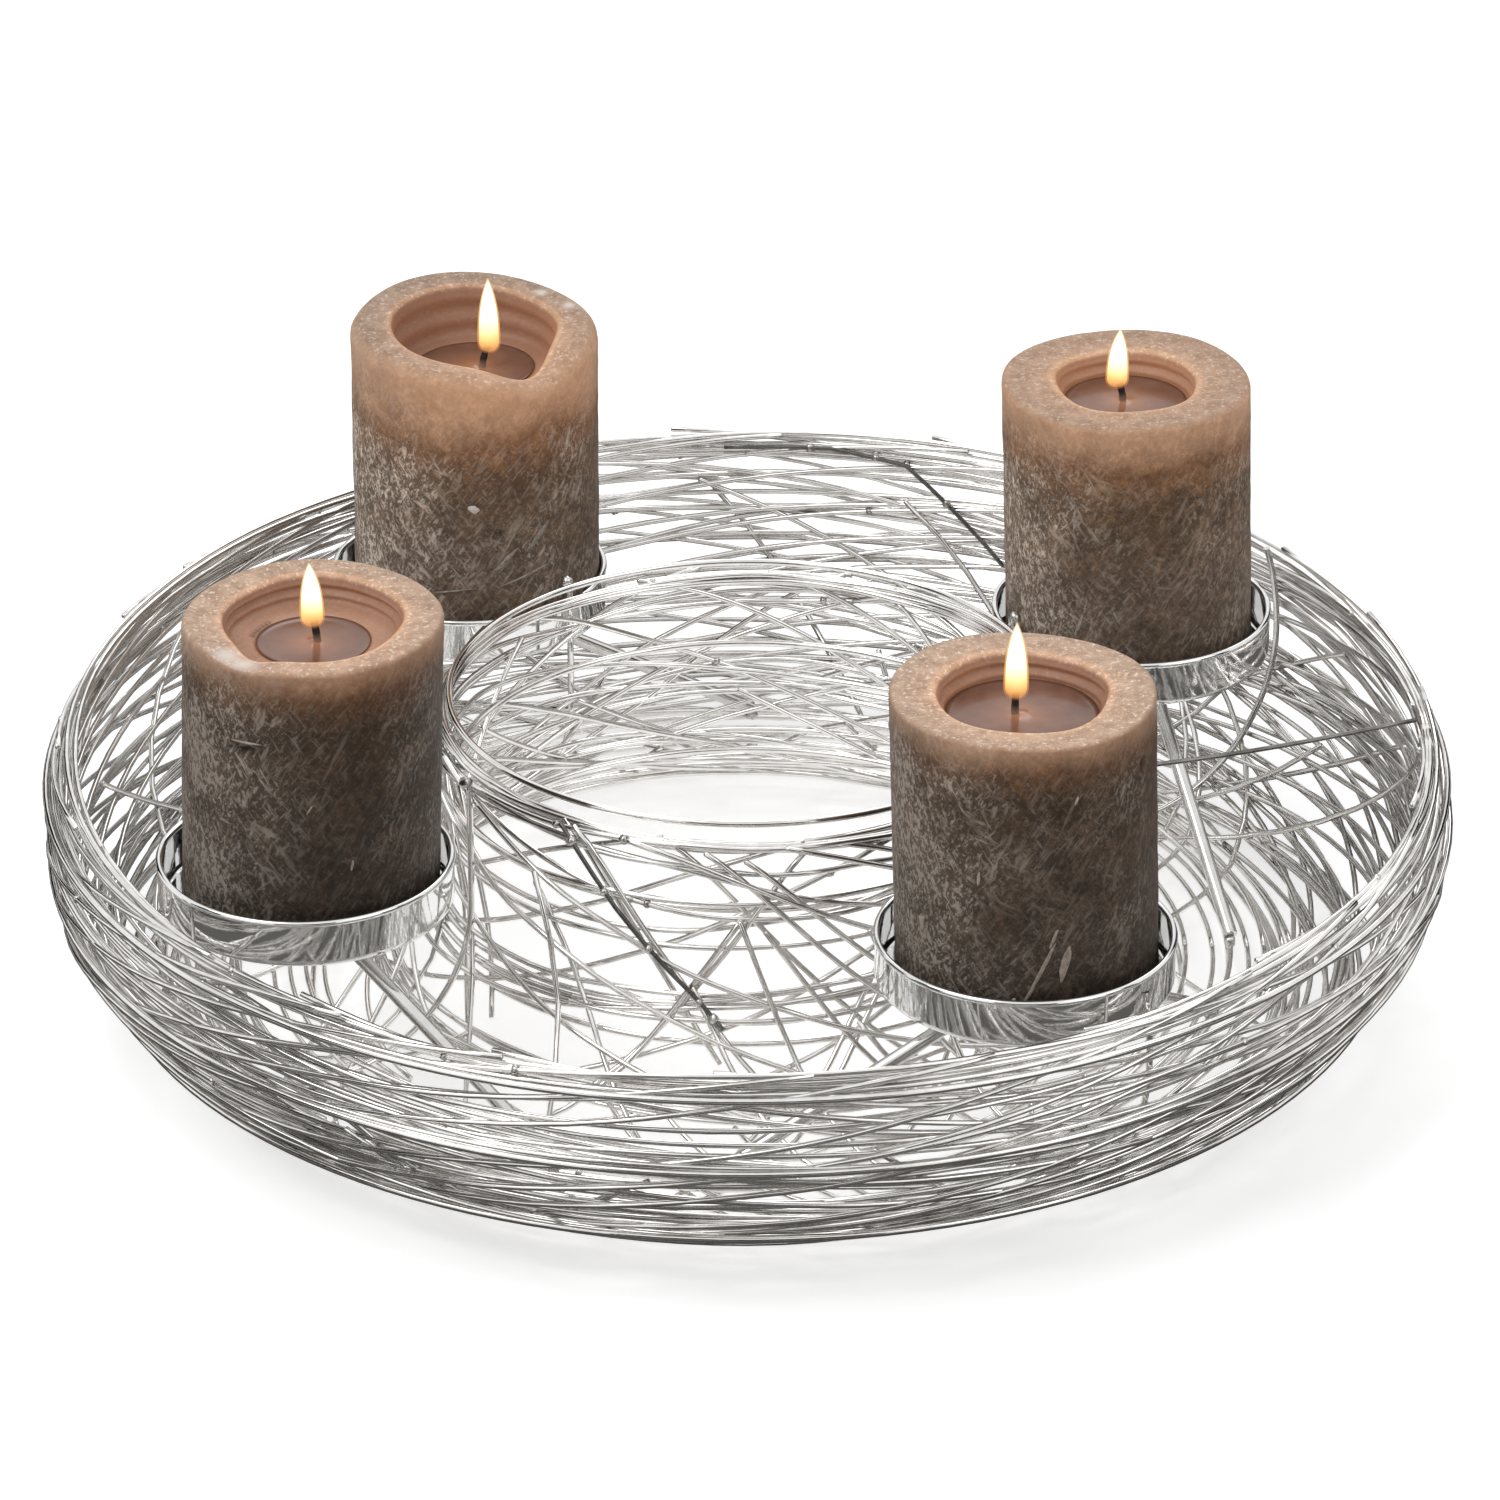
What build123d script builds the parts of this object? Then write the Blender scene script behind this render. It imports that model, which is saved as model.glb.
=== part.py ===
from build123d import *

import os
from math import asin, cos, degrees, hypot, radians, sin, sqrt

# Advent candle wreath: a ring-shaped trough of bent bright wires, open at the top, with four cups
# on splayed legs that hold four pillar candles. Millimetres, +Z up, the wreath's centre at x = y = 0
# and the surface that it stands on at z = 0. Front is -Y.

# Wire sizes
wire_d = 1.6
hoop_d = 2.0
rib_d = 1.8
leg_d = 4.0
bead_d = 4.2
layer_gap = 0.4
solder_gap = 0.2

# Trough: a round-bottomed channel, with a bulging outer wall and an inner wall that ends upright
outer_wall_space = 17.0
inner_wall_space = 15.7
outer_bend_r = 56.0
outer_upper_bend_r = 90.0
inner_bend_r = 49.0
inner_rim_z = 87.7
inner_wire_rise = 1.2
outer_rim_back_z = 88.2
outer_rim_front_z = 75.7
foot_flat = 0.5
foot_facets = 8
outer_foot_angle = 80.0
outer_hoop_shares = {"outer_lower_hoop": 0.36, "outer_belly_hoop": 0.68, "outer_upper_hoop": 0.9}
inner_hoop_shares = {"inner_lower_hoop": 0.4, "inner_upper_hoop": 0.76, "inner_rim_hoop": 1.0}

# Wire families: lines round the wreath, pieces each line is cut into, degrees that a line runs
outer_rising_lines = 20
outer_rising_cuts = 4
outer_rising_run = 165.0
outer_falling_lines = 16
outer_falling_cuts = 4
outer_falling_run = -200.0
outer_rows = 9
outer_row_cuts = 7
inner_rising_lines = 11
inner_falling_lines = 10
inner_cuts = 5
inner_run = 150.0
inner_rows = 8
inner_row_cuts = 5
floor_rows = 5
floor_row_cuts = 3
cut_gap_share = 0.015
uneven_share = 0.55
golden_share = 0.618

# Ribs across the trough, one under each cup
rib_end = 3.0

# Cups on a ring of their own, which stands a little to the left of the wreath's centre
cup_ring_r = 137.3
cup_ring_shift = -3.8
cup_first_angle = 34.0
cup_names = ("back_right", "back_left", "front_left", "front_right")
cup_rim_z = 73.9
cup_rim_step = 2.0
cup_rim_step_shares = (1, -1, 1, -1)
cup_space = 3.6
cup_depth = 13.0
cup_wall = 1.0
cup_corner_r = 2.2
cup_lip_d = 1.8

# Legs: one rod bent over each cup's middle, with both feet on the leg hoop
leg_spread = 82.0
leg_set_in = 25.0
leg_crest = 16.0
leg_bend_r = 12.0

# Candles and wicks, each candle stood a little to one side in its cup
candle_r = 35.0
candle_heights = (83.0, 88.5, 83.0, 83.0)
candle_shifts = (-1.5, 2.0, 1.2, -0.4)
candle_edge_r = 3.0
pool_rs = (19.6, 23.3, 24.0, 21.8)
pool_depths = (8.0, 13.0, 7.0, 8.0)
pool_slope = 2.5
well_rs = (14.5, 18.0, 16.0, 16.5)
well_depth = 2.0
wick_d = 2.2
wick_length = 18.0
wick_seat = 8.0
wick_clearance = 0.15

turn = 360.0

layer_step = wire_d + layer_gap
cup_r = candle_r + cup_space + cup_wall
belly_r = cup_ring_r + cup_r + outer_wall_space
inner_wall_r = cup_ring_r - cup_r - inner_wall_space
hoop_step = (hoop_d + wire_d) / 2 + layer_gap
rib_layer = 4
leg_hoop_layer = 5
hoop_z = hoop_d / 2 - foot_flat
foot_angle = degrees(asin(hoop_z / (hoop_d / 2)))
cup_angles = [cup_first_angle + turn * number / len(cup_names) for number in range(len(cup_names))]
bend_centre_r = belly_r - outer_bend_r
upper_centre_r = belly_r - outer_upper_bend_r
bend_centre_z = hoop_z + outer_bend_r * sin(radians(outer_foot_angle))
floor_z = bend_centre_z - outer_bend_r
inner_centre_r = inner_wall_r + inner_bend_r
inner_centre_z = floor_z + inner_bend_r
inner_foot_angle = degrees(asin((inner_centre_z - hoop_z) / inner_bend_r))
lower_run = outer_bend_r * radians(outer_foot_angle)
inner_lower_run = inner_bend_r * radians(inner_foot_angle)
inner_rim_run = inner_lower_run + inner_rim_z - inner_centre_z
rim_back_angle = degrees(asin((outer_rim_back_z - bend_centre_z) / outer_upper_bend_r))
rim_front_angle = degrees(asin((outer_rim_front_z - bend_centre_z) / outer_upper_bend_r))
leg_hoop_r = hypot(cup_ring_r - leg_set_in, leg_spread)

os.makedirs("parts", exist_ok=True)


def layer_depth(layer):
    """How far a layer's wires lie inside the outermost hoops."""
    steps = hoop_step + (layer - 1) * layer_step
    return steps if layer else 0.0


def rim_angle(azimuth):
    """The outer wall's top edge as an angle round its upper bend: higher at the back than in front."""
    mean = (rim_back_angle + rim_front_angle) / 2
    swing = (rim_back_angle - rim_front_angle) / 2
    return mean + swing * sin(radians(azimuth))


def at_azimuth(azimuth, radius, height):
    return Vector(radius * cos(radians(azimuth)), radius * sin(radians(azimuth)), height)


def outer_profile(depth, run):
    """The radius and height of the outer wall, at a run up it from its foot and a depth inside it."""
    above = run - lower_run
    bend, centre = (outer_upper_bend_r, upper_centre_r) if above > 0 else (outer_bend_r, bend_centre_r)
    angle = above / bend
    return centre + (bend - depth) * cos(angle), bend_centre_z + (bend - depth) * sin(angle)


def outer_point(layer, azimuth, share):
    """A point on a layer of the outer wall, at a share of the way from its foot to its rim."""
    run = share * (lower_run + outer_upper_bend_r * radians(rim_angle(azimuth)))
    return at_azimuth(azimuth, *outer_profile(layer_depth(layer), run))


def inner_profile(depth, run):
    """The radius and height of the inner wall, at a run up it from its foot and a depth inside it."""
    above = run - inner_lower_run
    angle = min(above, 0.0) / inner_bend_r
    radius = inner_centre_r - (inner_bend_r - depth) * cos(angle)
    return radius, inner_centre_z + (inner_bend_r - depth) * sin(angle) + max(above, 0.0)


def inner_point(layer, azimuth, share):
    """A point on a layer of the inner wall, at a share of the way from its foot to just over its rim."""
    run = share * (inner_rim_run + inner_wire_rise)
    return at_azimuth(azimuth, *inner_profile(layer_depth(layer), run))


def floor_point(layer, azimuth, share):
    """A point on a layer of the floor, at a share of the way from the inner foot to the outer foot."""
    first = inner_profile(0, 0)[0] + layer_step
    last = outer_profile(0, 0)[0] - layer_step
    return at_azimuth(azimuth, first + share * (last - first), floor_z + layer_depth(layer))


def uneven(number):
    """A steady, uneven spread between -1/2 and 1/2."""
    return (number * golden_share) % 1 - 1 / 2


def bent_wire(first, middle, last, diameter):
    """One round wire, bent to the arc through three points."""
    with BuildPart() as wire:
        with BuildLine() as route:
            arc = ThreePointArc(first, middle, last)
        with BuildSketch(Plane(origin=arc @ 0, z_dir=arc % 0)):
            Circle(diameter / 2)
        sweep(path=route.line)
    return wire.part.solid()


def cut_line(point, layer, start, run, low, high, cuts, number):
    """The wires of one line that runs round the wreath from a low share to a high one."""
    wires = []
    for cut in range(cuts):
        first = (cut + cut_gap_share * (1 + uneven(number + cut))) / cuts
        last = (cut + 1 - cut_gap_share * (1 + uneven(number * cuts + cut))) / cuts
        shares = (first, (first + last) / 2, last)
        places = [point(layer, start + run * share, low + (high - low) * share) for share in shares]
        wires.append(bent_wire(*places, wire_d))
    return wires


def slanted_wires(point, layer, lines, run, cuts):
    """Lines that climb across the whole width of a wall, unevenly spaced."""
    wires = []
    for line in range(lines):
        start = turn * (line + uneven_share * uneven(line)) / lines
        wires += cut_line(point, layer, start, run, 0.0, 1.0, cuts, line)
    return wires


def round_wires(point, layer, rows, cuts):
    """Rows that run along a wall, unevenly spaced."""
    wires = []
    for row in range(rows):
        share = (row + 1 / 2 + uneven_share * uneven(row)) / rows
        wires += cut_line(point, layer, turn * uneven(row), turn, share, share, cuts, row)
    return wires


def write_group(solids, name):
    """Separate solids of one kind, kept together under one name."""
    group = Compound(solids)
    group.label = name
    export_step(group, f"parts/{name}.step")


def write_hoop(name, radius, height, diameter, centre_x):
    """One closed hoop of round wire."""
    with BuildPart() as hoop:
        with BuildSketch(Plane.XZ):
            with Locations((radius, height)):
                Circle(diameter / 2)
        revolve(axis=Axis.Z)
    part = Pos(centre_x, 0, 0) * hoop.part
    part.label = name
    export_step(part, f"parts/{name}.step")


def write_foot_hoop(name, radius):
    """One closed hoop that the wreath stands on, of drawn wire with narrow facets and a flat underside."""
    step = (turn / 2 + 2 * foot_angle) / foot_facets
    angles = [radians(-foot_angle + step * facet) for facet in range(foot_facets + 1)]
    edges = [(radius + hoop_d / 2 * cos(angle), hoop_z + hoop_d / 2 * sin(angle)) for angle in angles]
    with BuildPart() as hoop:
        with BuildSketch(Plane.XZ):
            with BuildLine():
                Polyline(*edges, close=True)
            make_face()
        revolve(axis=Axis.Z)
    hoop.part.label = name
    export_step(hoop.part, f"parts/{name}.step")


# Hoops: two feet on the table, and the hoops that the walls' wires are soldered to
front_run = lower_run + outer_upper_bend_r * radians(rim_front_angle)
write_foot_hoop("outer_foot_hoop", outer_profile(0, 0)[0])
write_foot_hoop("inner_foot_hoop", inner_profile(0, 0)[0])
for name, share in outer_hoop_shares.items():
    write_hoop(name, *outer_profile(0, share * front_run), hoop_d, 0)
for name, share in inner_hoop_shares.items():
    write_hoop(name, *inner_profile(0, share * inner_rim_run), hoop_d, 0)
leg_hoop_bend_r = outer_bend_r - layer_depth(leg_hoop_layer)
leg_hoop_reach = leg_hoop_r + abs(cup_ring_shift) - bend_centre_r
leg_hoop_z = bend_centre_z - sqrt(leg_hoop_bend_r**2 - leg_hoop_reach**2)
write_hoop("leg_hoop", leg_hoop_r, leg_hoop_z, wire_d, cup_ring_shift)

# Wires of the two walls and the floor, in layers that lie on each other
write_group(
    slanted_wires(outer_point, 1, outer_rising_lines, outer_rising_run, outer_rising_cuts),
    "outer_rising_wires",
)
write_group(round_wires(outer_point, 2, outer_rows, outer_row_cuts), "outer_round_wires")
write_group(
    slanted_wires(outer_point, 3, outer_falling_lines, outer_falling_run, outer_falling_cuts),
    "outer_falling_wires",
)
write_group(slanted_wires(inner_point, 1, inner_rising_lines, inner_run, inner_cuts), "inner_rising_wires")
write_group(round_wires(inner_point, 2, inner_rows, inner_row_cuts), "inner_round_wires")
write_group(slanted_wires(inner_point, 3, inner_falling_lines, -inner_run, inner_cuts), "inner_falling_wires")
write_group(round_wires(floor_point, 3, floor_rows, floor_row_cuts), "floor_round_wires")


def rib(azimuth):
    """One wire across the trough: down the inner wall, over the floor and up the outer wall."""
    depth = layer_depth(rib_layer)
    wall_r = inner_wall_r + depth
    bottom_z = floor_z + depth
    side = Vector(sin(radians(azimuth)), -cos(radians(azimuth)), 0)
    across = Plane(origin=(0, 0, 0), x_dir=at_azimuth(azimuth, 1, 0), z_dir=side)
    top_z = inner_rim_z - rib_end
    with BuildPart() as part:
        with BuildLine(across) as route:
            Line((wall_r, top_z), (wall_r, inner_centre_z))
            CenterArc((inner_centre_r, inner_centre_z), inner_bend_r - depth, 180, 90)
            Line((inner_centre_r, bottom_z), (bend_centre_r, bottom_z))
            CenterArc((bend_centre_r, bend_centre_z), outer_bend_r - depth, -90, 90)
            CenterArc((upper_centre_r, bend_centre_z), outer_upper_bend_r - depth, 0, rim_angle(azimuth))
        with BuildSketch(Plane(origin=at_azimuth(azimuth, wall_r, top_z), z_dir=(0, 0, -1))):
            Circle(rib_d / 2)
        sweep(path=route.line)
    return part.part.solid()


write_group([rib(azimuth) for azimuth in cup_angles], "cross_ribs")

# Cups, legs, candles and wicks, one of each at four places
beads = []
for number, name in enumerate(cup_names):
    azimuth = cup_angles[number]
    centre = at_azimuth(azimuth, cup_ring_r, 0) + Vector(cup_ring_shift, 0, 0)
    rim_z = cup_rim_z + cup_rim_step * cup_rim_step_shares[number]
    base_z = rim_z - cup_depth
    cup_floor_z = base_z + cup_wall
    upright = Plane(origin=centre, x_dir=(1, 0, 0), z_dir=(0, -1, 0))
    middle = Axis(centre, (0, 0, 1))

    with BuildPart() as cup:
        with BuildSketch(upright):
            with BuildLine():
                bend = (cup_r - cup_corner_r, base_z + cup_corner_r)
                Line((0, base_z), (bend[0], base_z))
                CenterArc(bend, cup_corner_r, -90, 90)
                Line((cup_r, bend[1]), (cup_r, rim_z))
                Line((cup_r, rim_z), (cup_r - cup_wall, rim_z))
                Line((cup_r - cup_wall, rim_z), (cup_r - cup_wall, bend[1]))
                CenterArc(bend, cup_corner_r - cup_wall, 0, -90)
                Line((bend[0], cup_floor_z), (0, cup_floor_z))
                Line((0, cup_floor_z), (0, base_z))
            make_face()
            with Locations((cup_r - cup_wall / 2, rim_z)):
                Circle(cup_lip_d / 2)
        revolve(axis=middle)
    cup.part.label = f"cup_{name}"
    export_step(cup.part, f"parts/cup_{name}.step")

    outward = at_azimuth(azimuth, 1, 0)
    along = Vector(-outward.Y, outward.X, 0)
    crest_z = base_z - leg_d / 2 - solder_gap
    foot_z = leg_hoop_z + (wire_d + leg_d) / 2 + solder_gap
    feet = [
        centre + along * (side * leg_spread) - outward * leg_set_in + Vector(0, 0, foot_z)
        for side in (-1, 1)
    ]
    crest = [centre + along * (side * leg_crest / 2) + Vector(0, 0, crest_z) for side in (-1, 1)]
    with BuildPart() as legs:
        with BuildLine() as route:
            FilletPolyline(feet[0], *crest, feet[1], radius=leg_bend_r)
        with BuildSketch(Plane(origin=feet[0], z_dir=crest[0] - feet[0])):
            Circle(leg_d / 2)
        sweep(path=route.line)
    legs.part.label = f"legs_{name}"
    export_step(legs.part, f"parts/legs_{name}.step")
    beads += [(foot.X, foot.Y, foot_z - leg_d / 2) for foot in feet]

    candle_centre = centre + Vector(candle_shifts[number], 0, 0)
    top_z = cup_floor_z + candle_heights[number]
    pool_z = top_z - pool_depths[number]
    well_z = pool_z - well_depth
    with BuildPart() as candle:
        with BuildSketch(Plane(origin=candle_centre, x_dir=(1, 0, 0), z_dir=(0, -1, 0))):
            with BuildLine():
                Polyline(
                    (0, cup_floor_z),
                    (candle_r, cup_floor_z),
                    (candle_r, top_z),
                    (pool_rs[number], top_z),
                    (pool_rs[number] - pool_slope, pool_z),
                    (well_rs[number], pool_z),
                    (well_rs[number] - well_depth, well_z),
                    (wick_d / 2 + wick_clearance, well_z),
                    (wick_d / 2 + wick_clearance, well_z - wick_seat),
                    (0, well_z - wick_seat),
                    close=True,
                )
            make_face()
            fillet(vertices().group_by(Axis.Y)[-1], candle_edge_r)
        revolve(axis=Axis(candle_centre, (0, 0, 1)))
    candle.part.label = f"candle_{name}"
    export_step(candle.part, f"parts/candle_{name}.step")

    with BuildPart() as wick:
        with BuildSketch(Plane.XY.offset(well_z - wick_seat)):
            with Locations((candle_centre.X, candle_centre.Y)):
                Circle(wick_d / 2)
        extrude(amount=wick_length)
    wick.part.label = f"wick_{name}"
    export_step(wick.part, f"parts/wick_{name}.step")

# Solder beads where the legs stand on their hoop, and where the ribs end, clear of the wires behind
bead_depth = layer_depth(rib_layer - 1) + wire_d / 2 + solder_gap + bead_d / 2
for azimuth in cup_angles:
    top = at_azimuth(azimuth, inner_wall_r + bead_depth, inner_rim_z - rib_end)
    beads.append((top.X, top.Y, top.Z))


def bead(place):
    with BuildPart() as ball:
        with Locations(place):
            Sphere(bead_d / 2)
    return ball.part.solid()


write_group([bead(place) for place in beads], "solder_beads")
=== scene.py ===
import math
import random

import bpy
import numpy as np
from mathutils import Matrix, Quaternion, Vector, noise


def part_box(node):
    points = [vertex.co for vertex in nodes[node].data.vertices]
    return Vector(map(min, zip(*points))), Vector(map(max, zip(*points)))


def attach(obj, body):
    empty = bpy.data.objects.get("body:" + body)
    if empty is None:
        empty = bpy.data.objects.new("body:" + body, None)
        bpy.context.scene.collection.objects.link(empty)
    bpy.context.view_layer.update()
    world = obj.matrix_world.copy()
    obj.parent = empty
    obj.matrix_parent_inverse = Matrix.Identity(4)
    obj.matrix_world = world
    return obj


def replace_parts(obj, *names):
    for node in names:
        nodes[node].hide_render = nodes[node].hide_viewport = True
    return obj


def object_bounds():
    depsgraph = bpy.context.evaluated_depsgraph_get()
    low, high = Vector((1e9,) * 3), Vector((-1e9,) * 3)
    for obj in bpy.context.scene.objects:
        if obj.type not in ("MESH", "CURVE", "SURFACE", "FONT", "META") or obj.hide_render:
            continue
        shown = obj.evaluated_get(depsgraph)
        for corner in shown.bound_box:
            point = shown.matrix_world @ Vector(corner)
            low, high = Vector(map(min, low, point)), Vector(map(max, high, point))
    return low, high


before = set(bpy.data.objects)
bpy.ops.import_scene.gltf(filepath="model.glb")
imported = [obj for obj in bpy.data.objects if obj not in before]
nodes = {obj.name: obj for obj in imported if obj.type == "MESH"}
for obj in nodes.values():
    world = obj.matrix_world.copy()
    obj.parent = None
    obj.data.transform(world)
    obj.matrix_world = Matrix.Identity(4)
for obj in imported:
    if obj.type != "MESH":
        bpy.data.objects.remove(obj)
cad_low, cad_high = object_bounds()
draw = random.Random(11)

# Sizes in metres, in the part's own frame: +Z up, front is -Y, the table at z = 0
WIRE_D = 0.0016
HOOP_D = 0.0020
LAYER_GAP = 0.0004
BELLY_R = 0.1939
OUTER_BEND_R = 0.056
UPPER_BEND_R = 0.090
INNER_WALL_R = 0.082
INNER_BEND_R = 0.049
INNER_RIM_Z = 0.0877
RIM_BACK_Z = 0.0882
RIM_FRONT_Z = 0.0757
FOOT_FLAT = 0.0005
FOOT_ANGLE = math.radians(80)

# The loosely wound wires bulge a little at the right and at the left
BULGE = 0.0022
BULGE_AT = (348, 188)
BULGE_WIDTH = 22

LAYER_STEP = WIRE_D + LAYER_GAP
LAYERS = [(HOOP_D + WIRE_D) / 2 + LAYER_GAP + LAYER_STEP * layer for layer in range(3)]
HOOP_Z = HOOP_D / 2 - FOOT_FLAT
BEND_CENTRE_Z = HOOP_Z + OUTER_BEND_R * math.sin(FOOT_ANGLE)
FLOOR_Z = BEND_CENTRE_Z - OUTER_BEND_R
BEND_CENTRE_R = BELLY_R - OUTER_BEND_R
UPPER_CENTRE_R = BELLY_R - UPPER_BEND_R
INNER_CENTRE_R = INNER_WALL_R + INNER_BEND_R
INNER_CENTRE_Z = FLOOR_Z + INNER_BEND_R
LOWER_RUN = OUTER_BEND_R * FOOT_ANGLE
INNER_LOWER_RUN = INNER_BEND_R * math.asin((INNER_CENTRE_Z - HOOP_Z) / INNER_BEND_R)
INNER_RUN = INNER_LOWER_RUN + INNER_RIM_Z - INNER_CENTRE_Z
OUTER_FOOT_R = BEND_CENTRE_R + OUTER_BEND_R * math.cos(FOOT_ANGLE)
INNER_FOOT_R = INNER_CENTRE_R - INNER_BEND_R * math.cos(INNER_LOWER_RUN / INNER_BEND_R)
FLOOR_RUN = OUTER_FOOT_R - INNER_FOOT_R


def apart(azimuth, place):
    """The degrees from a place to an azimuth, between -180 and 180."""
    return (azimuth - place + 180) % 360 - 180


def bell(offset, spread):
    """1 in the middle, and smoothly less with the offset."""
    return math.exp(-((offset / spread) ** 2))


# Places on the trough, by depth inside its outermost hoops, azimuth in degrees and share of a wall
def at_azimuth(azimuth, radius, height):
    a = math.radians(azimuth)
    return Vector((radius * math.cos(a), radius * math.sin(a), height))


def outer_run(azimuth):
    """The outer wall's length from foot to rim: longer at the back, where the rim is higher."""
    back = math.asin((RIM_BACK_Z - BEND_CENTRE_Z) / UPPER_BEND_R)
    front = math.asin((RIM_FRONT_Z - BEND_CENTRE_Z) / UPPER_BEND_R)
    rim = (back + front) / 2 + (back - front) / 2 * math.sin(math.radians(azimuth))
    return LOWER_RUN + UPPER_BEND_R * rim


def outer_point(depth, azimuth, share):
    above = share * outer_run(azimuth) - LOWER_RUN
    bend, centre = (UPPER_BEND_R, UPPER_CENTRE_R) if above > 0 else (OUTER_BEND_R, BEND_CENTRE_R)
    angle = above / bend
    bulge = BULGE * sum(bell(apart(azimuth, at), BULGE_WIDTH) for at in BULGE_AT)
    radius = centre + (bend - depth) * math.cos(angle) + bulge * math.sin(math.pi * min(max(share, 0), 1))
    return at_azimuth(azimuth, radius, BEND_CENTRE_Z + (bend - depth) * math.sin(angle))


def inner_point(depth, azimuth, share):
    above = share * INNER_RUN - INNER_LOWER_RUN
    angle = min(above, 0) / INNER_BEND_R
    radius = INNER_CENTRE_R - (INNER_BEND_R - depth) * math.cos(angle)
    height = INNER_CENTRE_Z + (INNER_BEND_R - depth) * math.sin(angle) + max(above, 0)
    return at_azimuth(azimuth, radius, height)


def floor_point(depth, azimuth, share):
    sag = (HOOP_Z - FLOOR_Z) * math.sin(math.pi * share)
    return at_azimuth(azimuth, INNER_FOOT_R + share * FLOOR_RUN, HOOP_Z + depth - sag)


def trough_point(depth, azimuth, share):
    """From the inner rim down, over the floor and up to the outer rim."""
    run = share * (INNER_RUN + FLOOR_RUN + outer_run(azimuth))
    if run < INNER_RUN:
        return inner_point(depth, azimuth, 1 - run / INNER_RUN)
    run -= INNER_RUN
    if run < FLOOR_RUN:
        return floor_point(depth, azimuth, run / FLOOR_RUN)
    return outer_point(depth, azimuth, (run - FLOOR_RUN) / outer_run(azimuth))


# Shader nodes. A colour mix has its factor and its two colours at these places among its inputs
MIX_INPUTS = (0, 6, 7)
MIX_COLOUR = 2


def new_material(name):
    material = bpy.data.materials.new(name)
    material.use_nodes = True
    return material, material.node_tree


def feed(tree, socket, value):
    """Links a socket from another one, or gives it a value."""
    if isinstance(value, bpy.types.NodeSocket):
        tree.links.new(value, socket)
    else:
        socket.default_value = value


def dress(tree, node, inputs):
    for key, value in inputs.items():
        feed(tree, node.inputs[key], value)


def finished(material, inputs):
    tree = material.node_tree
    dress(tree, tree.nodes["Principled BSDF"], inputs)
    return material


def add(tree, kind, inputs=None, **settings):
    """One shader node, with its settings and its inputs: a value, or a socket to link from."""
    node = tree.nodes.new(kind)
    for key, value in settings.items():
        setattr(node, key, value)
    dress(tree, node, inputs or {})
    return node


def ramp(tree, factor, stops):
    """A colour ramp through (place, grey or colour) stops."""
    node = add(tree, "ShaderNodeValToRGB", {"Fac": factor})
    elements = node.color_ramp.elements
    while len(elements) < len(stops):
        elements.new(1)
    for element, (place, value) in zip(elements, stops):
        element.position = place
        colour = value if isinstance(value, tuple) else (value,) * 3
        element.color = (*colour, 1)
    return node.outputs["Color"]


def noise_node(tree, scale, detail, roughness, distortion=0, turn=None, stretch=None):
    """A noise in the part's own frame, which may be turned and then stretched."""
    place = add(tree, "ShaderNodeTexCoord").outputs["Object"]
    if turn:
        place = add(tree, "ShaderNodeMapping", {"Vector": place, "Rotation": turn}).outputs["Vector"]
    if stretch:
        place = add(tree, "ShaderNodeMapping", {"Vector": place, "Scale": stretch}).outputs["Vector"]
    inputs = {"Vector": place, "Scale": scale, "Detail": detail}
    inputs |= {"Roughness": roughness, "Distortion": distortion}
    return add(tree, "ShaderNodeTexNoise", inputs, noise_type="FBM").outputs["Fac"]


def mix(tree, factor, a, b, blend="MIX"):
    node = add(tree, "ShaderNodeMix", data_type="RGBA", blend_type=blend)
    for index, value in zip(MIX_INPUTS, (factor, a, b)):
        feed(tree, node.inputs[index], (*value, 1) if isinstance(value, tuple) else value)
    return node.outputs[MIX_COLOUR]


def math_node(tree, operation, a, b):
    node = add(tree, "ShaderNodeMath", operation=operation)
    for socket, value in zip(node.inputs, (a, b)):
        feed(tree, socket, value)
    return node.outputs[0]


def times(tree, a, b):
    return math_node(tree, "MULTIPLY", a, b)


def bump(tree, height, distance, strength=1.0):
    inputs = {"Height": height, "Distance": distance, "Strength": strength}
    return add(tree, "ShaderNodeBump", inputs).outputs["Normal"]


def attribute(tree, name):
    return add(tree, "ShaderNodeAttribute", attribute_name=name).outputs["Fac"]


# Materials. The reliefs are depths in metres
METAL_RELIEF = 0.00003
WAX_RELIEF = 0.0006
FLAKE_RELIEF = 0.0002
WICK_RELIEF = 0.0003


def metal(name, bright, dull, smooth, rough, grain):
    """Bright plated metal: a little uneven in colour and polish, with fine drawing marks."""
    material, tree = new_material(name)
    cloud = noise_node(tree, 90, 5, 0.6)
    marks = noise_node(tree, grain, 3, 0.6)
    inputs = {
        "Base Color": ramp(tree, cloud, [(0.3, dull), (0.62, bright)]),
        "Roughness": ramp(tree, marks, [(0.3, smooth), (0.75, rough)]),
        "Normal": bump(tree, marks, METAL_RELIEF, 0.4),
        "Metallic": 1,
    }
    return finished(material, inputs)


WIRE_METAL = metal("wire_nickel", (0.84, 0.825, 0.805), (0.67, 0.65, 0.625), 0.06, 0.16, 900)
CUP_METAL = metal("cup_polish", (0.82, 0.82, 0.81), (0.74, 0.735, 0.73), 0.03, 0.08, 500)
LEG_METAL = metal("leg_nickel", (0.74, 0.73, 0.715), (0.60, 0.585, 0.57), 0.07, 0.16, 700)
SOLDER_METAL = metal("solder_joint", (0.70, 0.69, 0.67), (0.34, 0.32, 0.30), 0.14, 0.38, 1200)
TIE_METAL = metal("dark_tie", (0.20, 0.19, 0.18), (0.09, 0.085, 0.08), 0.16, 0.34, 900)

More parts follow.
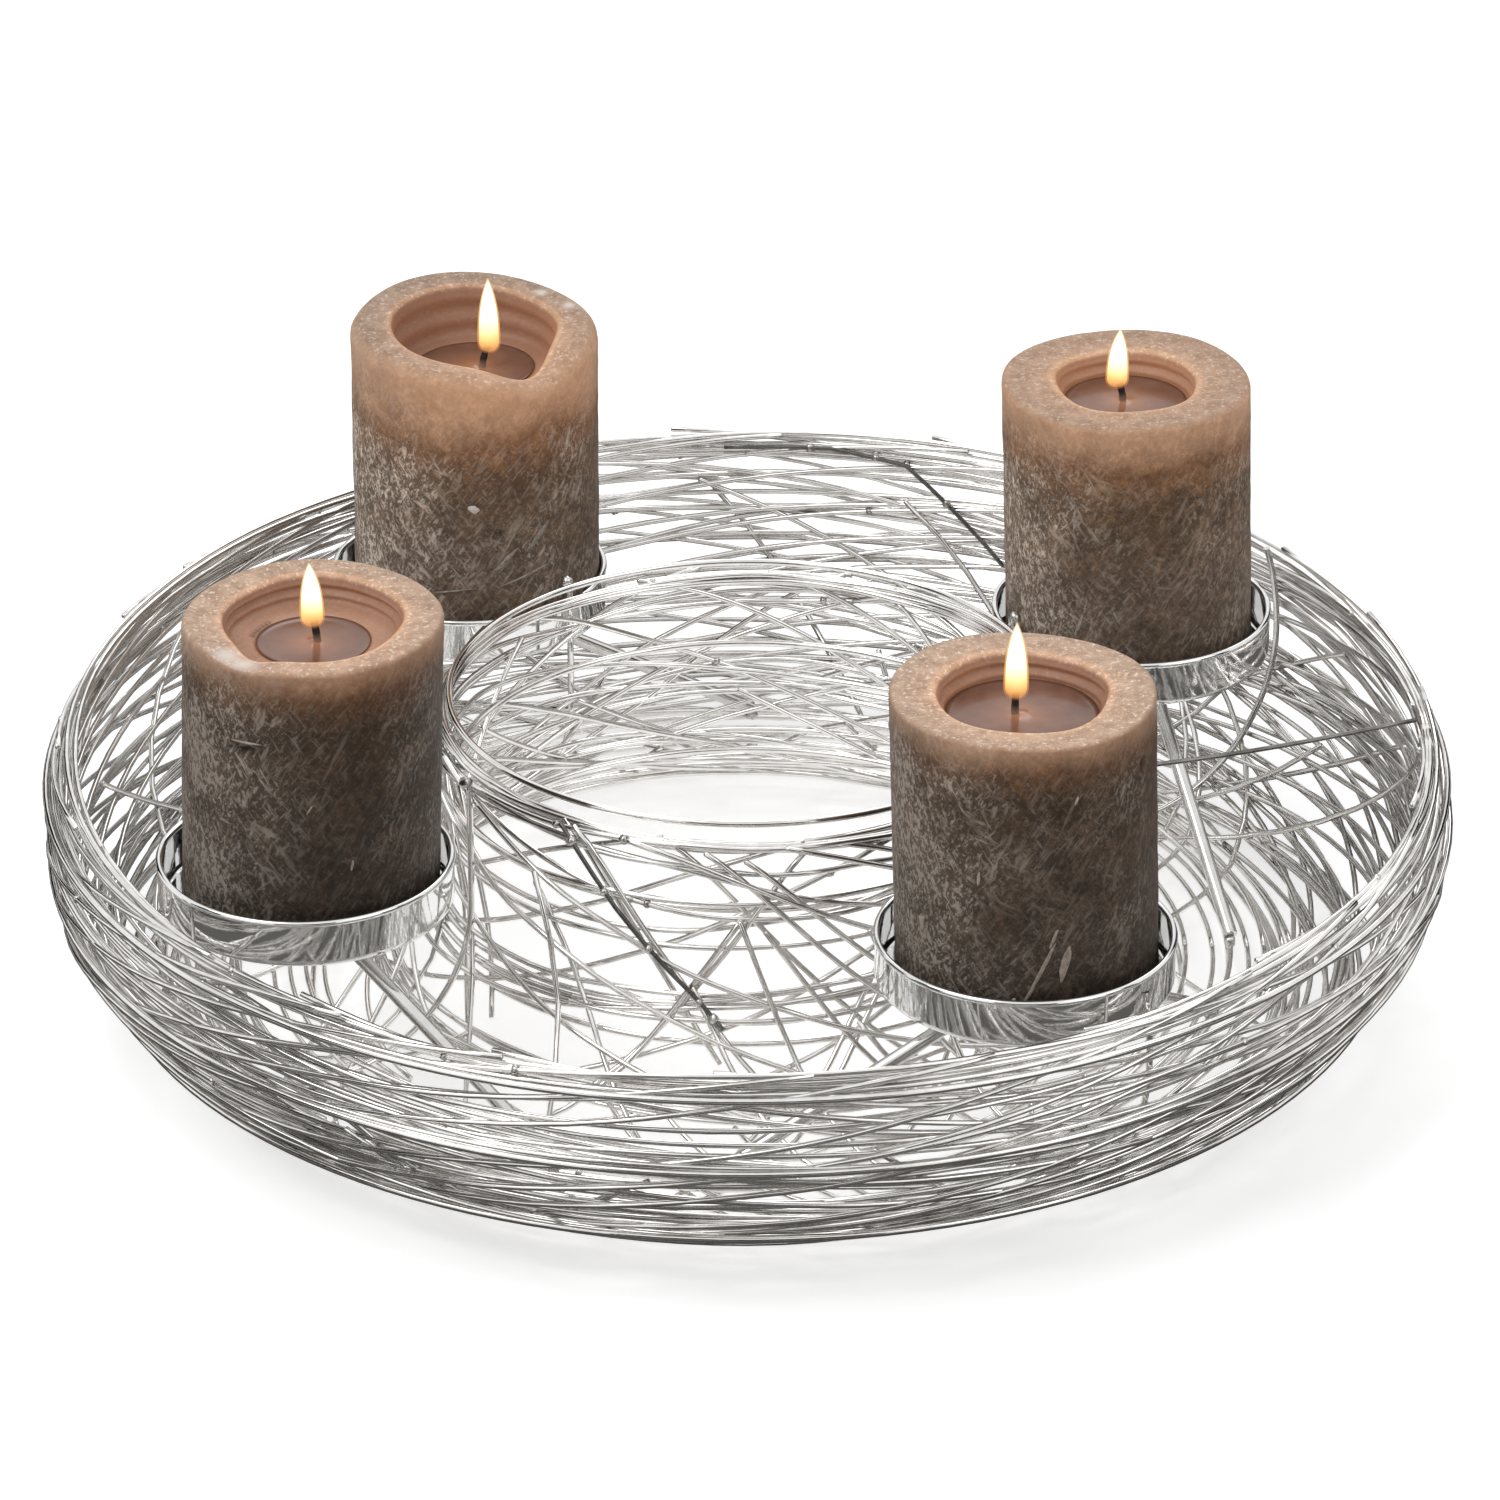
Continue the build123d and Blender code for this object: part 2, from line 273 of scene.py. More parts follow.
# Colours of wax: up the side, darker towards the foot and with a warm band under the rim where the flame's
# light is painted in; on the rim; as it is worn low down and high up; and the flame's light, painted on, as
# it shines through
WAX_SIDE = [
    (0.0, (0.026, 0.016, 0.010)),
    (0.25, (0.050, 0.033, 0.022)),
    (0.60, (0.062, 0.039, 0.024)),
    (0.80, (0.056, 0.031, 0.015)),
    (0.90, (0.112, 0.055, 0.025)),
    (1.0, (0.470, 0.295, 0.190)),
]
WAX_RIM = [(0.34, (0.40, 0.262, 0.178)), (0.66, (0.68, 0.475, 0.340))]
WAX_PALE_SPECKS = (0.94, 0.82, 0.71)
WAX_WORN_LOW = (0.400, 0.345, 0.290)
WAX_WORN_HIGH = (0.500, 0.415, 0.345)
WAX_WET = (0.345, 0.195, 0.136)
WAX_CHIP = (0.80, 0.73, 0.67)
WAX_GLOW = [(0.0, (0.9, 0.28, 0.09)), (1.0, (1.0, 0.52, 0.24))]
MELT_TONES = [(0.3, (0.145, 0.070, 0.050)), (0.7, (0.200, 0.105, 0.078))]
FLAKE_TONES = [(0.34, (0.13, 0.095, 0.068)), (0.66, (0.40, 0.33, 0.27))]
FLAKE_PALE = (0.78, 0.71, 0.65)
SOOT = (0.006, 0.005, 0.005)
WICK_CHAR = [(0.35, SOOT), (0.75, (0.045, 0.035, 0.030))]
WICK_COAT = (0.34, 0.25, 0.20)

# Scratches: lean in degrees, fineness across and along, and where in the noise they start and are full
SCRATCH_TIP = math.radians(12)
SCRATCHES = [
    (-38, 950, 150, (0.53, 0.66)),
    (34, 850, 130, (0.55, 0.68)),
    (-24, 420, 55, (0.58, 0.68)),
    (68, 380, 60, (0.60, 0.70)),
]


def worn_marks(tree):
    """Fine and coarse scratches that lean several ways, and specks."""
    marks = ramp(tree, noise_node(tree, 1000, 3, 0.6), [(0.58, 0.0), (0.70, 1.0)])
    for lean, across, along, (start, full) in SCRATCHES:
        turn = (SCRATCH_TIP, math.radians(lean), 0.0)
        streaks = noise_node(tree, 1, 3, 0.6, 0.25, turn, (across, across, along))
        marks = math_node(tree, "MAXIMUM", marks, ramp(tree, streaks, [(start, 0.0), (full, 1.0)]))
    return marks


def worked_rim(tree):
    """The candle's top: tan, with pale specks."""
    worked = ramp(tree, noise_node(tree, 210, 5, 0.7), WAX_RIM)
    pale_specks = ramp(tree, noise_node(tree, 800, 4, 0.7), [(0.54, 0.0), (0.66, 0.9)])
    return mix(tree, 1.0, mix(tree, pale_specks, worked, WAX_PALE_SPECKS), attribute(tree, "rim"), "MULTIPLY")


def wax_material():
    """Rustic wax: dark and scratched pale where it is worn, with light painted on its left side; clear and
    warm below the rim, with the flame's light painted in; tan on top.
    """
    material, tree = new_material("rustic_wax")
    rise = attribute(tree, "rise")
    drift = times(tree, math_node(tree, "SUBTRACT", noise_node(tree, 45, 4, 0.6), 0.5), 0.12)
    height = math_node(tree, "ADD", rise, drift)
    # Each candle's tone is painted light and shade, lighter on the back candles and darker on the front ones,
    # fading out towards the rim.
    tone = mix(tree, ramp(tree, rise, [(0.86, 0.0), (1.0, 0.8)]), attribute(tree, "tone"), (1.0, 1.0, 1.0))
    toned_and_lit = mix(tree, 1.0, ramp(tree, height, WAX_SIDE), tone, "MULTIPLY")
    calm = ramp(tree, height, [(0.84, 1.0), (0.97, 0.3)])
    grain = noise_node(tree, 620, 6, 0.75, 0.6)
    mottle = ramp(tree, grain, [(0.36, 0.50), (0.5, 0.95), (0.64, 1.6)])
    broad = ramp(tree, noise_node(tree, 130, 5, 0.7, 0.8), [(0.34, 0.60), (0.5, 0.95), (0.66, 1.5)])
    speckled = mix(tree, 1.0, mix(tree, 1.0, toned_and_lit, mottle, "MULTIPLY"), broad, "MULTIPLY")
    mottled = mix(tree, calm, toned_and_lit, speckled)
    patches = ramp(tree, noise_node(tree, 60, 4, 0.65), [(0.36, 0.35), (0.62, 1.5)])
    # The worn patches are strongest on the left side: wear, with painted light where the light falls from the
    # left.
    wear_and_light = times(tree, times(tree, attribute(tree, "wear_and_light"), patches), calm)
    frost_and_light = times(tree, wear_and_light, math_node(tree, "ADD", worn_marks(tree), 0.14))
    # The pale worn colour takes each candle's painted light and shade as well.
    pale = mix(tree, 1.0, mix(tree, rise, WAX_WORN_LOW, WAX_WORN_HIGH), tone, "MULTIPLY")
    frosted_and_lit = mix(tree, math_node(tree, "MINIMUM", frost_and_light, 0.9), mottled, pale)
    topped = mix(tree, attribute(tree, "top"), frosted_and_lit, worked_rim(tree))
    wet = attribute(tree, "wet")
    chipped = mix(tree, attribute(tree, "pale"), mix(tree, wet, topped, WAX_WET), WAX_CHIP)
    dry_gloss = ramp(tree, grain, [(0.3, 0.40), (0.7, 0.66)])
    relief = math_node(tree, "ADD", times(tree, grain, 0.5), times(tree, frost_and_light, 0.6))
    # The glow is painted flame light on the top, the lip and the side under the rim.
    glow = attribute(tree, "glow")
    inputs = {
        "Base Color": mix(tree, attribute(tree, "soot"), chipped, SOOT),
        "Roughness": mix(tree, wet, dry_gloss, (0.20, 0.20, 0.20)),
        "Normal": bump(tree, relief, WAX_RELIEF, 0.6),
        "Emission Color": ramp(tree, glow, WAX_GLOW),
        "Emission Strength": times(tree, glow, 0.30),
        "Specular IOR Level": 0.22,
        "Subsurface Weight": 0.06,
        "Subsurface Radius": (0.006, 0.003, 0.0015),
        "Subsurface Scale": 1.0,
    }
    return finished(material, inputs)


def melt_material():
    """Molten wax round the wick: still, wet and darker than the set wax, with the flame's light painted on it
    as a glow.
    """
    material, tree = new_material("melted_wax")
    inputs = {
        "Base Color": ramp(tree, noise_node(tree, 140, 3, 0.5), MELT_TONES),
        "Roughness": ramp(tree, noise_node(tree, 300, 2, 0.5), [(0.3, 0.12), (0.7, 0.22)]),
        "Emission Color": (1.0, 0.42, 0.16, 1),
        "Emission Strength": times(tree, attribute(tree, "glow"), 0.22),
        "Specular IOR Level": 0.3,
        "Coat Weight": 0.12,
        "Coat Roughness": 0.05,
    }
    return finished(material, inputs)


def flake_material():
    """Wax scraped pale."""
    material, tree = new_material("scraped_wax")
    tone = ramp(tree, noise_node(tree, 700, 4, 0.65), FLAKE_TONES)
    inputs = {
        "Base Color": mix(tree, attribute(tree, "pale"), tone, FLAKE_PALE),
        "Normal": bump(tree, noise_node(tree, 1200, 3, 0.6), FLAKE_RELIEF),
        "Roughness": 0.55,
        "Specular IOR Level": 0.25,
    }
    return finished(material, inputs)


def wick_material():
    """Burnt cotton, waxy and pale at its foot."""
    material, tree = new_material("burnt_wick")
    weave = noise_node(tree, 1500, 4, 0.6)
    inputs = {
        "Base Color": mix(tree, attribute(tree, "coat"), ramp(tree, weave, WICK_CHAR), WICK_COAT),
        "Normal": bump(tree, weave, WICK_RELIEF),
        "Roughness": 0.8,
    }
    return finished(material, inputs)


def glowing_material(name, stops, strength, veil):
    """A flame, coloured and veiled from its foot to its tip."""
    material, tree = new_material(name)
    waver = math_node(tree, "SUBTRACT", noise_node(tree, 220, 2, 0.5), 0.5)
    rise = math_node(tree, "ADD", attribute(tree, "rise"), times(tree, waver, 0.10))
    inputs = {
        "Emission Color": ramp(tree, rise, stops),
        "Emission Strength": strength,
        "Alpha": ramp(tree, rise, veil),
        "Base Color": (0, 0, 0, 1),
        "Specular IOR Level": 0,
        "Roughness": 1,
    }
    return finished(material, inputs)


CORE_STOPS = [
    (0.0, (0.34, 0.12, 0.04)),
    (0.10, (0.48, 0.24, 0.08)),
    (0.22, (0.78, 0.47, 0.18)),
    (0.36, (1.0, 0.80, 0.50)),
    (0.55, (1.0, 0.98, 0.92)),
]
HALO_STOPS = [
    (0.0, (0.70, 0.26, 0.10)),
    (0.25, (1.0, 0.46, 0.12)),
    (0.7, (1.0, 0.62, 0.22)),
    (1.0, (1.0, 0.80, 0.42)),
]
EMBER_STOPS = [(0.0, (0.8, 0.02, 0.01)), (1.0, (1.0, 0.10, 0.03))]
WAX = wax_material()
MELT = melt_material()
FLAKE = flake_material()
WICK = wick_material()
CORE = glowing_material("flame_core", CORE_STOPS, 2.2, [(0.0, 0.25), (0.22, 1.0)])
HALO = glowing_material("flame_halo", HALO_STOPS, 1.1, [(0.0, 0.06), (0.25, 0.42), (1.0, 0.55)])
EMBER = glowing_material("wick_ember", EMBER_STOPS, 1.3, [(0.0, 1.0), (1.0, 1.0)])

# The part's own pieces keep their shape and take these finishes
for name, piece in nodes.items():
    finish = WIRE_METAL
    if name.startswith("cup_"):
        finish = CUP_METAL
    if name.startswith("legs_"):
        finish = LEG_METAL
    piece.data.materials.clear()
    piece.data.materials.append(finish)


# Mesh pieces
def make_piece(name, points, faces, material, body, attributes=None):
    mesh = bpy.data.meshes.new(name)
    mesh.from_pydata([tuple(p) for p in points], [], faces)
    mesh.polygons.foreach_set("use_smooth", [True] * len(mesh.polygons))
    for key, values in (attributes or {}).items():
        layer = mesh.attributes.new(key, "FLOAT", "POINT")
        layer.data.foreach_set("value", np.asarray(values, np.float32))
    mesh.materials.append(material)
    mesh.update()
    piece = bpy.data.objects.new(name, mesh)
    bpy.context.scene.collection.objects.link(piece)
    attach(piece, body)
    return piece


def lathe_faces(rings, sides):
    """Quads between rings of points, with a fan on the single first and last points."""
    faces = []
    last = 1 + (rings - 1) * sides
    for s in range(sides):
        t = (s + 1) % sides
        faces.append((0, 1 + t, 1 + s))
        for r in range(rings - 1):
            a = 1 + r * sides
            faces.append((a + s, a + t, a + sides + t, a + sides + s))
        faces.append((last + s, last + t, last + sides))
    return faces


# A wire's cut ends are a little narrower and longer. No wire starts out along the askew direction
TUBE_SIDES = 10
CAP_WIDTH_SHARE = 0.62
CAP_LENGTH_SHARE = 0.3
ASKEW = (0.31, 0.17, 0.93)


def tube(route, radius, shares=None):
    """The points and faces of one round wire along a route, with slightly rounded cut ends."""
    path = np.array([tuple(p) for p in route])
    ahead = np.gradient(path, axis=0)
    ahead /= np.linalg.norm(ahead, axis=1)[:, None]
    side = np.cross(ahead[0], ASKEW)
    side /= np.linalg.norm(side)
    turns = np.linspace(0, 2 * math.pi, TUBE_SIDES, endpoint=False)
    first_cap = path[:1] - ahead[:1] * radius * CAP_LENGTH_SHARE
    last_cap = path[-1:] + ahead[-1:] * radius * CAP_LENGTH_SHARE
    path = np.vstack([first_cap, path, last_cap])
    ahead = np.vstack([ahead[:1], ahead, ahead[-1:]])
    widths = np.ones(len(path)) if shares is None else np.concatenate([shares[:1], shares, shares[-1:]])
    widths[0] *= CAP_WIDTH_SHARE
    widths[-1] *= CAP_WIDTH_SHARE
    rings = []
    for place, forward, width in zip(path, ahead, widths):
        side = side - forward * (side @ forward)
        side /= np.linalg.norm(side)
        up = np.cross(forward, side)
        ring = np.outer(np.cos(turns), side) + np.outer(np.sin(turns), up)
        rings.append(place + ring * radius * width)
    points = np.vstack([path[:1], *rings, path[-1:]])
    return points, lathe_faces(len(path), TUBE_SIDES)


def joined(shapes):
    """One list of points and faces from several."""
    points, faces, start = [], [], 0
    for shape_points, shape_faces in shapes:
        points.append(shape_points)
        faces += [tuple(i + start for i in face) for face in shape_faces]
        start += len(shape_points)
    return np.vstack(points), faces


def wires(name, routes, diameter=WIRE_D, material=WIRE_METAL):
    points, faces = joined([tube(route, diameter / 2) for route in routes])
    return make_piece(name, points, faces, material, "holder")


# Wires: each follows a formula round the wreath, and sways a little as hand-bent wire does
STEP = 3.0
LEAST_STEPS = 8
SWAY_SHARE = 0.014
DEPTH_SWAY = 0.0006
SWAY_RATE = 2.6
DEPTH_SWAY_RATE = 1.7
SEED_SPAN = 50
UNEVEN_STEP = 0.618
EDGE_POWER = 8


def uneven(number):
    """The part's own steady, uneven spread between -1/2 and 1/2."""
    return (number * UNEVEN_STEP) % 1 - 0.5


def soft(share):
    """Eases a share that would run over a wall's edge back to that edge."""
    x = 2 * share - 1
    return 0.5 + 0.5 * x / (1 + abs(x) ** EDGE_POWER) ** (1 / EDGE_POWER)


def wound(point, depth, start, run, share_at):
    """A wire from a start azimuth over a run of degrees, at a share of the wall that a formula gives."""
    count = max(LEAST_STEPS, int(abs(run) / STEP))
    seed = draw.uniform(0, SEED_SPAN)
    route = []
    for k in range(count + 1):
        t = k / count
        azimuth = start + run * t
        way = at_azimuth(azimuth, SWAY_RATE, seed)
        share = soft(share_at(t, azimuth) + SWAY_SHARE * noise.noise(way))
        route.append(point(depth + DEPTH_SWAY * noise.noise(way * DEPTH_SWAY_RATE), azimuth, share))
    return route


def loop(point, depth, mean, tilt, twist):
    """A closed wire round the wreath that climbs and falls on its way."""
    phases = [draw.uniform(0, 360) for _ in range(2)]

    def share_at(t, azimuth):
        first = tilt * math.sin(math.radians(azimuth + phases[0]))
        return mean + first + twist * math.sin(math.radians(2 * azimuth + phases[1]))

    return wound(point, depth, 0, 360, share_at)


# The part's own wires, unbroken: node, wall, depth and count, then degrees that each runs, or tilt as a share
UNEVEN = 0.55
SLANTED = [
    ("outer_rising_wires", outer_point, LAYERS[0], 20, 165),
    ("outer_falling_wires", outer_point, LAYERS[2], 16, -200),
    ("inner_rising_wires", inner_point, LAYERS[0], 11, 150),
    ("inner_falling_wires", inner_point, LAYERS[2], 10, -150),
]
LEVEL = [
    ("outer_round_wires", outer_point, LAYERS[1], 9, 0.035),
    ("inner_round_wires", inner_point, LAYERS[1], 8, 0.030),
    ("floor_round_wires", floor_point, LAYERS[2], 5, 0.05),
]
outer_routes, inner_routes = [], []
for node, point, depth, lines, run in SLANTED:
    routes = []
    for line in range(lines):
        start = 360 * (line + UNEVEN * uneven(line)) / lines
        routes.append(wound(point, depth, start, run, lambda t, azimuth: t))
    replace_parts(wires(f"long_{node}", routes), node)
    (outer_routes if point is outer_point else inner_routes).extend(routes)
for node, point, depth, rows, tilt in LEVEL:
    means = [(row + 0.5 + UNEVEN * uneven(row)) / rows for row in range(rows)]
    routes = [loop(point, depth, mean, tilt, tilt / 2) for mean in means]
    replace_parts(wires(f"long_{node}", routes), node)


def loops(point, count, means, tilts, twists, depths):
    return [
        loop(point, draw.uniform(*depths), draw.uniform(*means), draw.uniform(*tilts), draw.uniform(*twists))
        for _ in range(count)
    ]


def crossings(point, count, azimuths, runs, lows, highs, depths):
    """Wires across a wall, leaning one way or the other."""
    routes = []
    for _ in range(count):
        low, high = draw.uniform(*lows), draw.uniform(*highs)
        run = draw.uniform(*runs) * draw.choice((-1, 1))

        def share_at(t, azimuth):
            return low + (high - low) * t

        routes.append(wound(point, draw.uniform(*depths), draw.uniform(*azimuths), run, share_at))
    return routes


# Loose wires, drawn from ranges: azimuths and runs in degrees, depths in metres, the rest as shares
DEPTHS = (0.0008, 0.0062)
RIM_DEPTHS = (0.0008, 0.0026)
TROUGH_DEPTHS = (0.0035, 0.0075)
outer_loops = loops(outer_point, 30, (0.10, 0.92), (0.04, 0.30), (0.0, 0.12), DEPTHS)
outer_rim = loops(outer_point, 4, (0.88, 0.97), (0.01, 0.06), (0.0, 0.03), DEPTHS)
wires("outer_loose_wires", outer_loops + outer_rim)
inner_loops = loops(inner_point, 7, (0.35, 0.92), (0.03, 0.25), (0.0, 0.10), DEPTHS)
inner_rim = loops(inner_point, 4, (0.955, 0.995), (0.01, 0.03), (0.0, 0.02), DEPTHS)
far_inner = crossings(inner_point, 12, (-10, 150), (50, 90), (0.0, 0.5), (0.6, 1.0), DEPTHS)
near_inner = crossings(inner_point, 14, (170, 370), (28, 60), (0.05, 0.35), (0.9, 1.0), DEPTHS)
wires("inner_loose_wires", inner_loops + inner_rim + far_inner + near_inner)
across = crossings(trough_point, 38, (0, 360), (22, 65), (0.08, 0.40), (0.70, 1.0), TROUGH_DEPTHS)
wires("trough_cross_wires", across)
outer_routes += outer_loops + outer_rim
inner_routes += inner_loops + inner_rim

# Dark ties: one down the near inner wall, one on the far wall, and one across the trough on the right
TIE_D = 0.0013
TIE_DEPTH = 0.0078
TIE_STEPS = 5
NEAR_TIE = [(236.5, 0.97), (247, 0.77), (262, 0.52), (266, 0.44)]
FAR_TIE = [(92, 0.93), (82, 0.93), (75, 0.89), (65.5, 0.60)]
RIGHT_TIE = (Vector((0.0755, -0.0480, 0.0840)), Vector((0.1835, -0.0122, 0.0835)))
RIGHT_TIE_SAG = 0.002
RIGHT_TIE_STEPS = 12


def tie(point, corners):
    """A wire through corners given as azimuth and share."""
    route = []
    for (az_a, share_a), (az_b, share_b) in zip(corners, corners[1:]):
        for k in range(TIE_STEPS):
            t = k / TIE_STEPS
            route.append(point(TIE_DEPTH, az_a + (az_b - az_a) * t, share_a + (share_b - share_a) * t))
    route.append(point(TIE_DEPTH, *corners[-1]))
    return route


def sagging(start, end, sag, steps):
    """A wire that hangs a little between two places."""
    route = []
    for k in range(steps + 1):
        drop = sag * math.sin(math.pi * k / steps)
        route.append(start.lerp(end, k / steps) - Vector((0, 0, drop)))
    return route


near_tie = tie(inner_point, NEAR_TIE)
far_tie = tie(outer_point, FAR_TIE)
right_tie = sagging(*RIGHT_TIE, RIGHT_TIE_SAG, RIGHT_TIE_STEPS)
wires("dark_ties", [near_tie, far_tie, right_tie], TIE_D, TIE_METAL)

# Solder: an uneven blob on each joint
BLOB_RINGS = 7
BLOB_SIDES = 12
BLOB_SWELL = 0.32
BLOB_SWELL_RATE = 1.6
BEAD_REACH = 0.005
BEAD_R = 0.0017
TIE_SOLDER_R = (0.0011, 0.0015)
WIRE_SOLDER_R = (0.0010, 0.0014)
CROSSING_SEED = 50


def blob(centre, radius, seed):
    points = [np.array(centre) - (0, 0, radius)]
    for r in range(1, BLOB_RINGS + 1):
        polar = math.pi * r / (BLOB_RINGS + 1)
        for s in range(BLOB_SIDES):
            a = 2 * math.pi * s / BLOB_SIDES
            way = Vector((math.sin(polar) * math.cos(a), math.sin(polar) * math.sin(a), -math.cos(polar)))
            swell = 1 + BLOB_SWELL * noise.noise(way * BLOB_SWELL_RATE + Vector((seed, 0, 0)))
            points.append(np.array(centre) + np.array(way) * radius * swell)
    points.append(np.array(centre) + (0, 0, radius))
    return np.array(points), [tuple(reversed(f)) for f in lathe_faces(BLOB_RINGS, BLOB_SIDES)]


def bead_centres():
    """The middles of the part's own solder beads, from the points that lie apart in its mesh."""
    piece = nodes["solder_beads"]
    left = np.array([tuple(piece.matrix_world @ v.co) for v in piece.data.vertices])
    centres = []
    while len(left):
        near = np.linalg.norm(left - left[0], axis=1) < BEAD_REACH
        centres.append((left[near].min(axis=0) + left[near].max(axis=0)) / 2)
        left = left[~near]
    return centres


points, faces = joined([blob(centre, BEAD_R, n) for n, centre in enumerate(bead_centres())])
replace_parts(make_piece("leg_solder", points, faces, SOLDER_METAL, "holder"), "solder_beads")

# Routes with joints on their crossings, how many, and the height in metres that these lie above
SOLDERED = [(outer_routes, 40, 0.055), (inner_routes, 22, 0.040)]
joints = [(place, draw.uniform(*TIE_SOLDER_R)) for place in near_tie[1::3] + far_tie[4::4]]
for routes, count, lowest in SOLDERED:
    high = [place for route in routes for place in route if place.z > lowest]
    joints += [(place, draw.uniform(*WIRE_SOLDER_R)) for place in draw.sample(high, count)]
points, faces = joined([blob(place, radius, CROSSING_SEED + n) for n, (place, radius) in enumerate(joints)])
make_piece("crossing_solder", points, faces, SOLDER_METAL, "holder")

# More loose wires in bundles, close under the inner rim and low on the inner wall
rim_bundle = loops(inner_point, 4, (0.93, 0.985), (0.004, 0.018), (0.0, 0.010), RIM_DEPTHS)
low_bundle = loops(inner_point, 5, (0.10, 0.34), (0.02, 0.06), (0.0, 0.03), DEPTHS)
wires("inner_bundle_wires", rim_bundle + low_bundle)

# Candles, with azimuths in degrees and lengths in metres.
# Shape: the pool's radius and depth, the well in it, the rim's rounding, its tilt as rise and azimuth,
# whether molten wax brims over the well, and the slant as sideways shifts of foot and top.
# Wear: a notch is azimuth, width and depth; a dent in the top is azimuth, radius, spread and depth; a scar
# is azimuth, depth below the top, half its length, half its height and depth; a chip or a sooty spot is
# azimuth, radius and size; a flake is azimuth, share of the height, length, width, lean and paleness.
# Looks: the tone of side and rim, the side's tone being painted light and shade that makes the back candles
# lighter and the front ones darker; how slowly the warm band under the rim fades, which has the flame's light
# painted in; the painted flame light through the wax as reach, strength, azimuth it comes from and width; and
# the worn patches, wear with painted light on the left side, as azimuth, width and strength.
# Wick and flame: the shift of the wick's foot, the bend of its tip and the flame's lean.
CANDLES = {
    "back_right": dict(
        radius=0.0350, pool=0.0196, depth=0.008, well=0.0145, edge=0.0016, tilt=(0.0005, 90), brimming=True,
        slant=(0.0010, -0.0016), notches=[], dents=[], scars=[], chips=[], soot=[],
        tone=2.3, rim=0.74, fade=1.3, flame_light=(0.014, 0.22, 270, 400), wear_and_light=[(205, 40, 0.45), (345, 40, 0.16)],
        flakes=[(244, 0.25, 0.008, 0.0010, 20, 0.1), (251, 0.17, 0.006, 0.0010, 30, 0.1),
                (262, 0.30, 0.005, 0.0008, -25, 0.1), (229, 0.36, 0.004, 0.0008, 35, 0.2)],
        wick=(-0.0005, 0.0), bend=(-0.0020, -0.0006), lean=0.0006,
    ),
    "back_left": dict(
        radius=0.0354, pool=0.0233, depth=0.013, well=0.0180, edge=0.0040, tilt=(0.0026, 125), brimming=False,
        slant=(0.0003, 0.0008), notches=[(308, 24, 0.0046)], dents=[(70, 0.0270, 0.0016, 0.0010)],
        scars=[(283, 0.0500, 0.0011, 0.0011, 0.0009)],
        chips=[(50, 0.0290, 0.0016), (28, 0.0305, 0.0018)], soot=[],
        tone=2.1, rim=0.72, fade=1.65, flame_light=(0.022, 0.62, 292, 70), wear_and_light=[(205, 45, 0.80), (318, 30, 0.22)],
        flakes=[(271, 0.52, 0.0024, 0.0032, 20, 0.9), (302, 0.40, 0.011, 0.0016, 42, 0.1),
                (285, 0.33, 0.010, 0.0013, 46, 0.1), (296, 0.27, 0.016, 0.0007, 74, 0.1),
                (262, 0.23, 0.014, 0.0006, 80, 0.1), (40, 0.93, 0.0030, 0.0012, 20, 0.9)],
        wick=(0.0020, 0.0), bend=(0.0022, 0.0), lean=0.0,
    ),
    "front_left": dict(
        radius=0.0344, pool=0.0240, depth=0.007, well=0.0160, edge=0.0016, tilt=(0.0004, 90), brimming=False,
        slant=(0.0, 0.0028), notches=[(236, 14, 0.0016)], dents=[],
        scars=[(243, 0.0240, 0.0050, 0.0008, 0.0009)],
        chips=[(226, 0.0305, 0.0034), (237, 0.0305, 0.0036)],
        soot=[(azimuth, 0.0160, 0.0006) for azimuth in range(138, 174, 4)],
        tone=0.82, rim=0.98, fade=1.05, flame_light=(0.009, 0.25, 285, 60), wear_and_light=[(205, 42, 1.30), (340, 34, 0.42)],
        flakes=[(256, 0.02, 0.009, 0.0008, 90, 0.4), (243, 0.735, 0.009, 0.0006, 88, 0.2),
                (272, 0.52, 0.003, 0.0006, 30, 0.2), (291, 0.31, 0.003, 0.0008, 10, 0.2)],
        wick=(0.0011, 0.0), bend=(-0.0012, -0.0004), lean=-0.0004,
    ),
    "front_right": dict(
        radius=0.0346, pool=0.0222, depth=0.008, well=0.0165, edge=0.0012, tilt=(0.0003, 90), brimming=True,
        slant=(0.0011, -0.0014), notches=[],
        dents=[(166, 0.0270, 0.0017, 0.0014), (18, 0.0246, 0.0020, 0.0020)],
        scars=[(331, 0.0130, 0.0012, 0.0017, 0.0012)], chips=[], soot=[],
        tone=1.0, rim=1.0, fade=1.0, flame_light=(0.008, 0.16, 280, 60), wear_and_light=[(210, 40, 1.05), (318, 26, 0.20)],
        flakes=[(285, 0.25, 0.0105, 0.0022, 15, 0.1), (275, 0.24, 0.016, 0.0012, 26, 0.1),
                (262, 0.11, 0.004, 0.0016, 10, 0.1), (269, 0.15, 0.006, 0.0010, 30, 0.1),
                (217, 0.32, 0.005, 0.0022, 0, 0.2), (248, 0.54, 0.004, 0.0009, 5, 0.2),
                (291, 0.81, 0.0026, 0.0007, 20, 0.3), (280, 0.34, 0.006, 0.0009, 22, 0.1)],
        wick=(-0.0019, 0.0), bend=(0.0002, -0.0003), lean=0.0,
    ),
}

# Rings of points down a candle's outline, in their order, and the ring where its rounded edge ends
CANDLE_SIDES = 160
BASE_RINGS = 3
SIDE_RINGS = 46
EDGE_RINGS = 6
TOP_RINGS = 9
WALL_RINGS = 12
SHELF_RINGS = 4
WELL_RINGS = 3
CENTRE_RINGS = 5
EDGE_START = BASE_RINGS + SIDE_RINGS
OVER_RIM = EDGE_START + EDGE_RINGS - 1
LIP_START = OVER_RIM + TOP_RINGS

